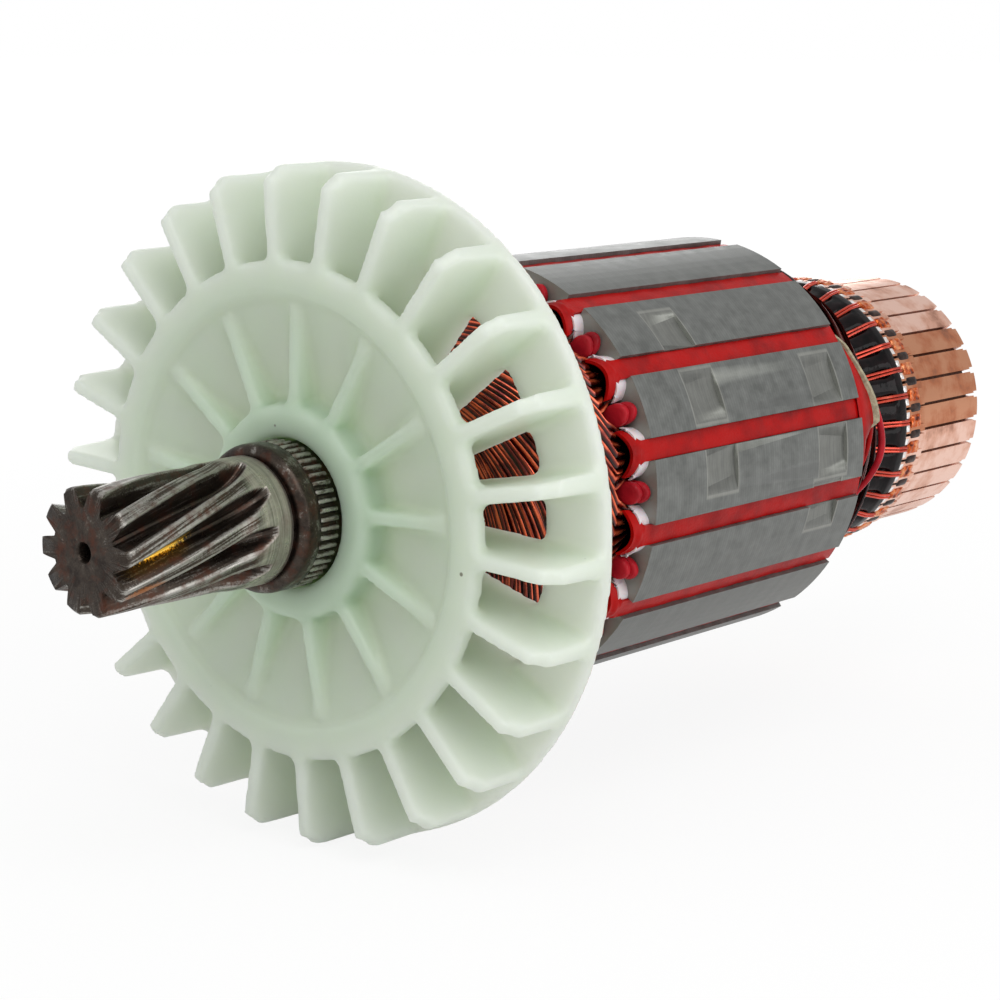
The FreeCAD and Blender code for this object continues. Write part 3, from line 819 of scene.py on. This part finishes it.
@dataclass
class CoreInsulation:
    """Wedge strips, folded liners, end pads and the rear plate round the core."""

    slots: int = 16
    tooth_phase: float = PHASE
    core_x0: float = 43.0
    core_x1: float = 88.5
    tooth_w: float = 4.0
    neck_half: float = 1.3
    floor_r: float = 15.2
    shoulder_r: float = 24.6
    strip_r: float = 26.45
    strip_t: float = 0.45
    strip_out: float = 3.0
    strip_rear: float = 0.6
    cuff_out: float = 2.2
    cuff_rear: float = 0.3
    flap_long: float = 1.9
    flap_y: float = 3.05
    flap_wide: float = 1.85
    flap_r: float = 24.1
    paper_t: float = 0.35
    board_t: float = 0.5
    pad_foot_r: float = 14.4
    cut_places: tuple[tuple[float, float], ...] = (
        (55.0, -2.15), (55.6, -3.0), (56.6, -3.85), (81.3, -3.05), (81.3, -3.95), (80.3, -4.62))

    def slot_angles(self) -> Array:
        """The angle of each slot's middle."""
        return self.tooth_phase + (np.arange(self.slots) + 0.5) * FULL_TURN / self.slots

    def slot_half(self, radius: Array) -> Array:
        """Half the slot's width at a height, beside parallel teeth."""
        half = math.radians(180.0 / self.slots)
        return radius * math.tan(half) - self.tooth_w / 2.0 / math.cos(half)

    def strip(self) -> Surface:
        """A red strip: flat in the slot's mouth, an arch as wide as the slot beyond the core."""
        x = np.concatenate([
            np.linspace(self.core_x0 - self.strip_out, self.core_x0 + 0.3, 28),
            np.linspace(self.core_x0 + 0.8, self.core_x1 - 0.8, 40),
            np.linspace(self.core_x1 - 0.3, self.core_x1 + self.strip_rear, 5),
        ])[:, None]
        out = np.maximum(self.core_x0 - x, x - self.core_x1)
        flare = smooth_step(out, 1.3, 2.3)
        half = self.neck_half + (self.slot_half(25.0) - 0.1 - self.neck_half) * flare
        drop = 0.06 + 1.9 * flare
        crown = self.strip_r + 0.12 * flare - 0.3 * smooth_step(out, 1.8, 2.7)
        wave = 0.04 * np.sin(x * 0.9) + 0.02 * np.sin(x * 2.3 + 1.0)
        t = np.linspace(-1.0, 1.0, 17)[None, :]
        top = crown + wave - drop * t ** 2
        return slab(points_at(x, half * t, top), points_at(x, half * t * 0.96, top - self.strip_t))

    def liner(self) -> Surface:
        """Folded paper: a U carried along the slot, its cuffs opening outwards at the ends."""
        x = np.concatenate([
            np.linspace(self.core_x0 - self.cuff_out, self.core_x0, 7),
            np.linspace(self.core_x0 + 1.0, self.core_x1 - 1.0, 6),
            np.linspace(self.core_x1, self.core_x1 + self.cuff_rear, 3),
        ])[:, None]
        out = np.clip(np.maximum(self.core_x0 - x, x - self.core_x1) / self.cuff_out, 0.0, 1.0)
        up = np.linspace(0.0, 1.0, 9)[None, :]
        top_r = self.shoulder_r - 0.05 + 0.45 * out ** 1.5
        z_side = self.floor_r + 0.05 + (top_r - self.floor_r) * up
        half = self.slot_half(np.minimum(z_side, self.shoulder_r)) - 0.02 + 0.2 * out ** 2 * up ** 3
        half_in = half - self.paper_t
        z_in = np.maximum(z_side, self.floor_r + self.paper_t)
        y = np.concatenate([-half[:, ::-1], half, half_in[:, ::-1], -half_in], axis=1)
        z = np.concatenate([z_side[:, ::-1], z_side, z_in[:, ::-1], z_in], axis=1)
        return grid(points_at(x, y, z), deep=smooth_step(-z, -23.0, -19.0))

    def flap(self, side: float) -> Surface:
        """A paper flap folded in over the coil: a bent strip from the slot's side to the red strip's neck."""
        x = np.linspace(self.core_x0 - self.flap_long, self.core_x0 + 0.4, 7)[:, None]
        s = np.linspace(0.0, 1.0, 12)[None, :]
        lean = 0.2 * smooth_step(self.core_x0 - x, 0.2, self.flap_long)
        y = side * (self.flap_y + lean - self.flap_wide * s)
        z = self.flap_r + 1.9 * np.sin(s * np.pi / 2.0) ** 0.8
        return slab(points_at(x, y, z), points_at(x, y - side * 0.1, z - 0.25))

    def pad(self, x_mid: float, half_x: float, half_w: float, end_r: float) -> Surface:
        """A finger that stands up a tooth: a rounded section carried outwards to a dome."""
        straight, dome = 0.86, 0.14
        s = np.concatenate([np.linspace(0.0, straight, 10),
                            straight + dome * np.sin(np.linspace(0.1, np.pi / 2.0, 9))])[:, None]
        z = self.pad_foot_r + (end_r - self.pad_foot_r) * s
        shrink = np.sqrt(np.clip(1.0 - (np.clip(s - straight, 0.0, dome) / dome) ** 2, 0.0009, 1.0))
        a = ring_angle(24)
        c, d = np.cos(a), np.sin(a)
        box = (np.abs(c) ** 3.2 + np.abs(d) ** 3.2) ** (-1.0 / 3.2)
        wave = 1.0 + 0.05 * np.sin(9.0 * s + 2.0 * x_mid)
        x = x_mid + half_x * c * box * (0.35 + 0.65 * shrink)
        y = half_w * d * box * shrink * wave
        return grid(points_at(x, y, z), closed_ends=True)

    def front_plate(self) -> Surface:
        """Two layers of fingers and the ring that they grow from."""
        angles = around(self.slots, self.tooth_phase)
        layers = [turned_copies(pad, angles) for pad in (self.pad(41.25, 0.66, 1.36, 25.9),
                                                         self.pad(42.35, 0.66, 1.42, 26.3))]
        ring = revolved([(40.6, 8.5), (40.6, 14.6), (41.0, 15.2), (43.0, 15.2), (43.0, 8.5)], 96)
        return join(layers + [ring])

    def rear_plate(self) -> Surface:
        """A thin disc, its rim bent away from the core between -87 and -56 degrees, x as ((r - 18) / 9)^1.5."""
        a = around(288)[None]
        side = (a + 180.0) % FULL_TURN - 180.0
        bent = smooth_step(side, -87.0, -82.0) * (1.0 - smooth_step(side, -80.0, -56.0))
        near = smooth_step(side, -87.0, -82.0) * (1.0 - smooth_step(side, -60.0, -50.0))
        share = np.array([8.6, 12.0, 16.0, 18.0, 20.0, 22.0, 23.5, 24.6, 25.6, 26.4, 26.9])[:, None] / 26.9
        radius = share * (25.4 + 1.5 * near)
        flat_r, rim = 18.0, 9.0
        x = self.core_x1 + 0.05 + (0.7 + 3.3 * bent) * (np.clip(radius - flat_r, 0.0, rim) / rim) ** 1.5
        front = round_axis(x, radius, a)
        back = round_axis(x[::-1] + self.board_t, radius[::-1], a)
        return grid(np.concatenate([front, back]), wrap_rows=True)

    def varnish_fillet(self) -> Surface:
        """Red varnish between the core's rear edge and the bent plate: a bulging band, pointed at both ends."""
        t = np.linspace(0.0, 1.0, 70)[:, None]
        a = -58.0 - 40.0 * t
        wide = np.sin(np.pi * t) ** 0.5
        far = np.interp(a, [-98.0, -92.0, -87.0, -83.0, -79.0, -73.0, -69.0, -64.0, -58.0],
                        [0.4, 0.8, 1.4, 3.7, 3.8, 3.3, 2.8, 1.8, 0.5])
        s = ring_angle(14)
        reach = far * (0.5 - 0.5 * np.cos(s))
        x = self.core_x1 - 0.05 + reach
        radius = 26.65 - 0.13 * reach + 0.3 * wide * np.sin(s)
        return grid(round_axis(x, radius, a), closed_ends=True)

    @staticmethod
    def curl(knots: list[Point], radius: float) -> Surface:
        """A thin round tail of varnished tape through (x, radius, angle) knots, pointed at both ends."""
        knots = np.array(knots)
        t = np.linspace(0.0, len(knots) - 1.0, 30)
        at = np.arange(len(knots))
        x, r, a = (np.interp(t, at, knots[:, k]) for k in range(3))
        middle = round_axis(x, r, a) / MM
        for _ in range(4):
            middle[1:-1] = (middle[:-2] + 2.0 * middle[1:-1] + middle[2:]) / 4.0
        ahead = np.gradient(middle, axis=0)
        ahead /= np.linalg.norm(ahead, axis=1, keepdims=True)
        outward = middle * [0.0, 1.0, 1.0]
        outward -= ahead * (outward * ahead).sum(axis=1, keepdims=True)
        outward /= np.linalg.norm(outward, axis=1, keepdims=True)
        sideways = np.cross(ahead, outward)
        turn = ring_angle(10)[:, :, None]
        size = (radius * np.sin(np.linspace(0.15, np.pi - 0.15, len(t))) ** 0.4)[:, None, None]
        ring = middle[:, None] + size * (np.cos(turn) * outward[:, None] + np.sin(turn) * sideways[:, None])
        return grid(ring * MM, closed_ends=True)

    def make(self) -> None:
        """Build the insulation over its nodes."""
        red = RedVarnish().build()
        crimson = RedVarnish("red_moulded_insulator", "#B01C28", "#7E0F1A", 0.28, 1.2).build()
        make_piece("wedge_strips", turned_copies(self.strip(), self.slot_angles()), red,
                   tuple(numbered("slot_wedge", self.slots)))
        papers = join([turned_copies(piece, self.slot_angles())
                       for piece in (self.liner(), self.flap(-1.0), self.flap(1.0))])
        make_piece("slot_papers", papers, SlotPaper().build(), ("slot_liners",))
        make_piece("front_pads", self.front_plate(), crimson, ("front_end_insulator",))
        make_piece("rear_fibre_plate", self.rear_plate(), FibreBoard().build(),
                   ("rear_end_insulator",), sharp=50.0)
        bright_tail = [(90.0, 26.0, -66.0), (91.5, 26.1, -71.0), (92.0, 26.1, -80.0), (91.7, 26.0, -86.0),
                       (91.0, 25.6, -93.0), (90.2, 25.0, -99.0)]
        dark_tail = [(93.5, 25.2, -68.0), (95.6, 25.0, -81.0), (96.1, 25.0, -87.0), (96.2, 25.0, -91.0),
                     (96.0, 24.8, -96.0), (94.5, 24.2, -103.0), (92.0, 23.5, -110.0)]
        bright = join([self.varnish_fillet(), self.curl(bright_tail, 0.4)])
        make_piece("bright_tape_tail", bright, red)
        make_piece("dark_tape_tail", self.curl(dark_tail, 0.5), crimson)
        cuts = tuple((x, self.tooth_phase + teeth * FULL_TURN / self.slots) for x, teeth in self.cut_places)
        finish_piece("stack_dressed", merged_copy("lamination_stack"), SheetSteel(cuts=cuts).build(),
                     ("lamination_stack",), 25.0)
        dress(["shaft_sleeve"], BlackResin("sleeve_plastic", "#1C1214", "#30181A", 0.35, 2.0).build())


@dataclass
class WindingHead:
    """End turns: flat bundles of wire that leave the slots, lie one on the next and lean over."""

    start_x: float
    end_x: float
    end_r: float
    slot_x: float
    seed: int
    start_r: float = 24.2
    slots: int = 16
    slot_phase: float = 12.5
    twist: float = 170.0
    wires: int = 6
    bundle_t: float = 1.3
    per_wire: int = 8
    stations: int = 48

    def bundle(self, wires: int, width_deg: float, lift: float, extra_turn: float, seed: int) -> Surface:
        """Parallel wires on the head's dome.

        Over a share t of the way the bend is t (2 - t) of a right angle: the place along the
        axis follows its sine, the height its cosine, and the turn is the twist times t. Across
        the bundle the height climbs as 1.15 s - 0.44 s^2 from its foot, plus |cos| for each wire.

        Args:
            wires: Number of wires side by side.
            width_deg: Width of the bundle on the dome.
            lift: Height over the dome.
            extra_turn: Turn that the bundle gains beyond the others.
            seed: Seed of its small irregularities.

        Returns:
            A closed ribbon at the top.
        """
        rng = np.random.default_rng(seed)
        v = np.linspace(-0.22, 0.82, self.stations)[:, None]
        u = np.linspace(-0.5, 0.5, wires * self.per_wire + 1)[None, :]
        t = np.clip(v, 0.0, 1.0)
        inside = np.clip(-v / 0.22, 0.0, 1.0)
        bend = t * (2.0 - t) * np.pi / 2.0
        x = self.start_x + (self.end_x - self.start_x) * np.sin(bend) + (self.slot_x - self.start_x) * inside
        climb = 0.7 * (1.645 * (u + 0.5) - 0.624 * (u + 0.5) ** 2 - 1.0) * smooth_step(v, -0.2, 0.15)
        dome = self.end_r + (self.start_r - self.end_r) * np.cos(bend) - 0.9 * smooth_step(-v, 0.0, 0.2)
        ridge = np.abs(np.cos(u * wires * np.pi))
        each = np.repeat(rng.normal(0.0, 1.0, (3, wires)), self.per_wire, axis=1)
        each = np.concatenate([each, each[:, -1:]], axis=1)[:, None]
        sag = 0.09 * each[0] * np.sin(np.clip(v, 0.0, 1.0) * np.pi)
        radius = dome + lift + climb + 0.3 * ridge + sag
        wander = 0.4 * np.sin(2.0 * np.pi * (1.1 * v + 0.2 * each[1]))
        width = width_deg * (0.47 + 0.53 * smooth_step(v, -0.2, 0.12))
        angle = self.twist * t + extra_turn * t + u * width + wander * smooth_step(v, 0.0, 0.3)
        tone = np.clip(0.5 + 0.28 * each[2], 0.0, 1.0)
        return slab(round_axis(x, radius, angle), round_axis(x, radius - self.bundle_t, angle),
                    # ridge shapes the turns and also sets the enamel's painted shade and painted highlight.
                    ridge=np.concatenate([ridge, 0.0 * ridge], axis=1),
                    seed=np.concatenate([tone, tone[:, ::-1]], axis=1))

    def surface(self) -> Surface:
        """The bundles of one head, a few stray ones over them, and the floor behind them."""
        pitch = FULL_TURN / self.slots
        rows = []
        for kind in range(4):
            angles = self.slot_phase + (np.arange(self.slots // 4) * 4 + kind) * pitch
            main_bundle = self.bundle(self.wires, 1.06 * pitch, -0.2, 0.0, self.seed + kind)
            rows.append(turned_copies(main_bundle, angles))
        for wires, width, lift, turn, seed, slots in (
                (3, 0.5, 0.12, 16.0, 9, [0.12, 3.1, 7.15, 9.0, 13.2]),
                (2, 0.33, 0.2, -19.0, 11, [1.9, 5.8, 11.9])):
            stray = self.bundle(wires, width * pitch, lift, turn, self.seed + seed)
            rows.append(turned_copies(stray, self.slot_phase + np.array(slots) * pitch))
        near, deep = (self.end_x + share * (self.start_x - self.end_x) for share in (0.08, 0.35))
        floor_r = self.end_r + 0.6
        rows.append(revolved([(near, HUB_R), (near, floor_r), (deep, floor_r), (deep, HUB_R)], 96))
        return join(rows)


@dataclass
class Winding:
    """Both heads, the leads to the commutator and the black resin round them."""

    bars: int = 32
    bar_phase: float = PHASE
    resin_x0: float = 102.5
    resin_foot_r: float = 15.4
    wire_r: float = 0.2

    def lead(self, side: float) -> Surface:
        """One wire: a round section carried up the resin's cone to the riser's slot."""
        t = np.linspace(0.0, 1.0, 12)[:, None]
        x = self.resin_x0 - 1.0 + 10.5 * t
        r_mid = np.interp(x, [101.5, 106.0, 109.5, 110.4, 112.0], [15.3, 17.2, 18.9, 19.35, 19.55])
        y_mid = side * (0.22 + 0.2 * (1.0 - t) ** 2)
        a = ring_angle(8)
        points = points_at(x, y_mid + self.wire_r * np.cos(a), r_mid + self.wire_r * np.sin(a))
        return grid(points, closed_ends=True, ridge=0.85)

    def resin(self) -> Surface:
        """Black blocks that rise to the risers: a profile over x with a groove, (1 - wave)^3, at each lead."""
        x = np.concatenate([np.linspace(100.8, 110.2, 20), np.linspace(110.4, 112.1, 8)])[:, None]
        angle = around(self.bars * 12)[None]
        wave = 0.5 - 0.5 * np.cos(np.radians((angle - self.bar_phase) * self.bars))
        top = np.interp(x, [100.8, 102.5, 106.0, 109.5, 110.3, 111.2, 111.8, 112.1],
                        [13.8, 15.7, 17.6, 19.0, 19.3, 19.38, 19.38, 19.0])
        groove = 0.75 * (1.0 - wave) ** 3 * (1.0 - smooth_step(x, 109.4, 110.4))
        lump = 0.12 * np.sin(np.radians(angle * 7.0) + 0.8 * x) * (1.0 - smooth_step(x, 109.4, 110.2))
        outer = round_axis(x, top - groove + lump, angle)
        inner = round_axis(x[::-1], HUB_R, angle)
        return grid(np.concatenate([outer, inner]), wrap_rows=True)

    def make(self) -> None:
        """Build heads, leads and resin."""
        front = WindingHead(39.0, 24.5, 13.0, 44.0, 40)
        rear = WindingHead(91.3, 102.5, self.resin_foot_r, 87.5, 60)
        make_piece("winding_front_head", front.surface(), EnamelledWire().build(), ("winding",),
                   sharp=70.0)
        # Painted shade: the rear head takes a darker copy of the enamel.
        dark = EnamelledWire("shaded_rear_wire", "#120406", "#34100F", "#7A2C24", 0.2).build()
        make_piece("winding_rear_head", rear.surface(), dark, sharp=70.0)
        angles = around(self.bars, self.bar_phase)
        leads = join([turned_copies(self.lead(side), angles) for side in (-1.0, 1.0)])
        # Painted highlight: the leads take a lighter copy of the enamel, and their ridge of 0.85 spreads its
        # bright colours along them.
        bright = EnamelledWire("bright_lead_wire", "#8E2412", "#D8452C", "#FF8A6A", 0.18).build()
        make_piece("lead_pairs", leads, bright, ("coil_leads",))
        make_piece("resin_blocks", self.resin(), BlackResin().build(), ("resin_band",))


@dataclass
class Commutator:
    """Bars, fused wire ends on their risers, and the moulding between them."""

    bars: int = 32
    phase: float = PHASE
    riser_r: float = 19.3
    shaded_bars: tuple[int, int] = (24, 28)
    hook_x: float = 114.2
    hook_half: tuple[float, float] = (1.45, 1.08)
    gap_x: float = 114.3
    gap_half: tuple[float, float] = (1.5, 0.72)
    # Place and half size of the painted glints at the risers' front edges.
    glint_at: tuple[float, float] = (112.2, 0.95)
    glint_half: tuple[float, float] = (0.4, 0.44)

    def cushion(self, middle: tuple[float, float], half: tuple[float, float], uv: tuple[Array, Array],
                height: Array, foot: float) -> Surface:
        """A field of heights over the risers' radius, on a flat foot below it."""
        x, y = (at + reach * share for at, reach, share in zip(middle, half, uv))
        return slab(points_at(x, y, self.riser_r + height), points_at(x, y, self.riser_r + foot))

    def hook(self) -> Surface:
        """A crust of fused wire over a riser: the root of (1 - u^8)(1 - v^8), with bumps of two sines."""
        u, v = square(13, 11)
        edge = (1.0 - np.abs(u) ** 8) * (1.0 - np.abs(v) ** 8)
        bumps = 0.1 * np.sin(u * 6.0 + v * 3.0) * np.cos(v * 5.0 - u * 2.0)
        height = -0.55 + (0.75 + bumps) * np.sqrt(np.clip(edge, 0.0, 1.0))
        return self.cushion((self.hook_x, 0.0), self.hook_half, (u, v), height, -0.9)

    def gap_cushion(self) -> Surface:
        """A dark cushion that fills the gap between two hooks, (1 - u^4)(1 - v^2)."""
        u, v = square(9, 7)
        height = -0.1 + 0.3 * (1.0 - u ** 4) * (1.0 - v ** 2)
        return self.cushion((self.gap_x, 0.0), self.gap_half, (u, v), height, -0.5)

    def glint_pad(self, side: float) -> Surface:
        """A painted glint at a riser's front edge: a small cushion, (1 - u^2)(1 - v^2)."""
        u, v = square(7, 7)
        height = 0.12 * (1.0 - u ** 2) * (1.0 - v ** 2)
        at = (self.glint_at[0], side * self.glint_at[1])
        return self.cushion(at, self.glint_half, (u, v), height, -0.3)

    def make(self) -> None:
        """Dress the bars and add what sits on their risers."""
        angles = around(self.bars, self.phase)
        bars = numbered("commutator_bar", self.bars)
        first, last = self.shaded_bars
        dress(bars[:first] + bars[last:], DrawnCopper().build())
        # Painted shade: bars 25 to 28, at 271 to 305 degrees, take a darker copy of the copper.
        dress(bars[first:last], DrawnCopper("shaded_copper", "#CE8F6C", "#BE7550", "#92604A").build())
        dress(["commutator_moulding"], BlackResin("phenolic_moulding", "#4A3026", "#6A4634", 0.5, 0.8).build())
        dress(["commutator_bush"], SheetSteel("#55534F", "#8C8A86", "#3C3A38", sheet_mm=1.5).build())
        make_piece("fused_wire_ends", turned_copies(self.hook(), angles), FusedCopper().build())
        between = angles + FULL_TURN / 2.0 / self.bars
        # A dark cushion sits in each gap between two hooks.
        varnish = BlackResin("riser_gap_cushion", "#1E1412", "#4A342C", 0.3, 0.9).build()
        make_piece("riser_gap_cushion", turned_copies(self.gap_cushion(), between), varnish)
        # Painted highlight: two white glints on each riser's front edge.
        glints = join([turned_copies(self.glint_pad(side), angles) for side in (-1.0, 1.0)])
        make_piece("riser_glints", glints, GlintWhite().build())


# Studio

class LampShape(Enum):
    """Whether a soft box is square or a long strip."""

    SQUARE = "SQUARE"
    STRIP = "RECTANGLE"


def aimed(at: Point, forward: Vector) -> Matrix:
    """The matrix of a thing at a place in millimetres that looks along a direction."""
    return Matrix.Translation(Vector(at) * MM) @ forward.to_track_quat("-Z", "Y").to_matrix().to_4x4()


@dataclass(frozen=True)
class SoftBox:
    """A lamp that faces the middle of the part; millimetres and watts."""

    name: str
    shape: LampShape
    at: Point
    size: tuple[float, float]
    power: float
    sheen_only: bool = False

    def make(self) -> None:
        """Hang it up; one for sheen only shows in reflections alone."""
        data = bpy.data.lights.new(self.name, "AREA")
        data.shape = self.shape.value
        data.size = self.size[0] * MM
        if self.shape is LampShape.STRIP:
            data.size_y = self.size[1] * MM
        data.energy = self.power
        lamp = add_object(self.name, data)
        lamp.matrix_world = aimed(self.at, Vector(MIDDLE) - Vector(self.at))
        lamp.visible_camera = False
        lamp.visible_diffuse = lamp.visible_transmission = not self.sheen_only


@dataclass
class Studio:
    """White floor and surroundings, soft boxes and the camera."""

    floor_z: float = -40.4
    camera_at: Point = (-202.424, -210.904, 55.542)
    forward: Point = (0.74962, 0.63712, -0.17928)
    lens_mm: float = 93.602
    lamps: tuple[SoftBox, ...] = (
        SoftBox("key_above", LampShape.SQUARE, (-120.0, -260.0, 420.0), (320.0, 320.0), 0.8),
        SoftBox("sheen_behind", LampShape.SQUARE, (460.0, 420.0, 150.0), (420.0, 420.0), 1.0, True),
        SoftBox("side_strip", LampShape.STRIP, (-420.0, 60.0, 160.0), (120.0, 420.0), 0.12),
        SoftBox("front_fill", LampShape.SQUARE, (160.0, -480.0, 120.0), (300.0, 300.0), 0.5),
    )

    def camera(self) -> None:
        """The camera at the photograph's angle."""
        data = bpy.data.cameras.new("camera")
        data.lens = self.lens_mm
        data.sensor_width = 36.0
        data.clip_start = 0.01
        data.clip_end = 20.0
        camera = add_object("camera", data)
        camera.matrix_world = aimed(self.camera_at, Vector(self.forward))
        bpy.context.scene.camera = camera

    def floor(self) -> None:
        """A wide white floor that keeps a soft shadow and shines by itself where the eye sees it."""
        mesh = bpy.data.meshes.new("floor")
        size, z = 6.0, self.floor_z * MM
        corners = [(-size, -size, z), (size, -size, z), (size, size, z), (-size, size, z)]
        mesh.from_pydata(corners, [], [(0, 1, 2, 3)])
        floor = add_object("floor", mesh)
        p = Paint("white_floor")
        white = p.add("Emission", inputs={"Color": "#FFFFFF", "Strength": 1.02})
        path = add_node(p.tree, "ShaderNodeLightPath").outputs
        seen = p.scaled(path["Is Glossy Ray"], 0.6, path["Is Camera Ray"], clamp=True)
        far = p.add("VectorMath", "Value", {"operation": "LENGTH"}, {0: p.add("TexCoord", "Object")})
        share = p.math("MULTIPLY", seen, p.remap(far, 0.12, 0.42, 0.86, 1.0))
        material = p.done({"Base Color": "#F4F4F4", "Roughness": 0.9, "Specular IOR Level": 0.0})
        mix = p.add("MixShader", inputs={0: share, 1: p.shader.outputs[0], 2: white})
        fill(p.tree, p.tree.nodes["Material Output"], {"Surface": mix})
        mesh.materials.append(material)

    def world(self) -> None:
        """White for the eye and for reflections, softer as a lamp."""
        world = bpy.data.worlds.new("white_room")
        bpy.context.scene.world = world
        world.use_nodes = True
        tree = world.node_tree
        path = add_node(tree, "ShaderNodeLightPath").outputs
        seen = add_node(tree, "ShaderNodeMath", {"operation": "MAXIMUM"}, {
            0: path["Is Camera Ray"], 1: path["Is Transmission Ray"]})
        shiny = add_node(tree, "ShaderNodeMapRange", inputs={
            "Value": path["Is Glossy Ray"], "To Min": 0.66, "To Max": 0.64})
        strength = add_node(tree, "ShaderNodeMath", {"operation": "MAXIMUM"}, {
            0: seen.outputs[0], 1: shiny.outputs[0]})
        fill(tree, tree.nodes["Background"], {"Color": "#FFFFFF", "Strength": strength.outputs[0]})

    def make(self) -> None:
        """Set up camera, floor, world and lamps."""
        bpy.context.scene.view_settings.view_transform = "Standard"
        self.camera()
        self.floor()
        self.world()
        for lamp in self.lamps:
            lamp.make()


def main() -> None:
    """Build the studio and every sub-assembly in order."""
    logging.basicConfig(level=logging.INFO, format="%(message)s")
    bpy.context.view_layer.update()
    parts = {
        "studio": Studio(),
        "shaft": ShaftWithPinion(),
        "fan": CoolingFan(),
        "insulation": CoreInsulation(),
        "winding": Winding(),
        "commutator": Commutator(),
    }
    for name, part in parts.items():
        part.make()
        log.info("%s is ready", name)


if __name__ == "__main__":
    main()
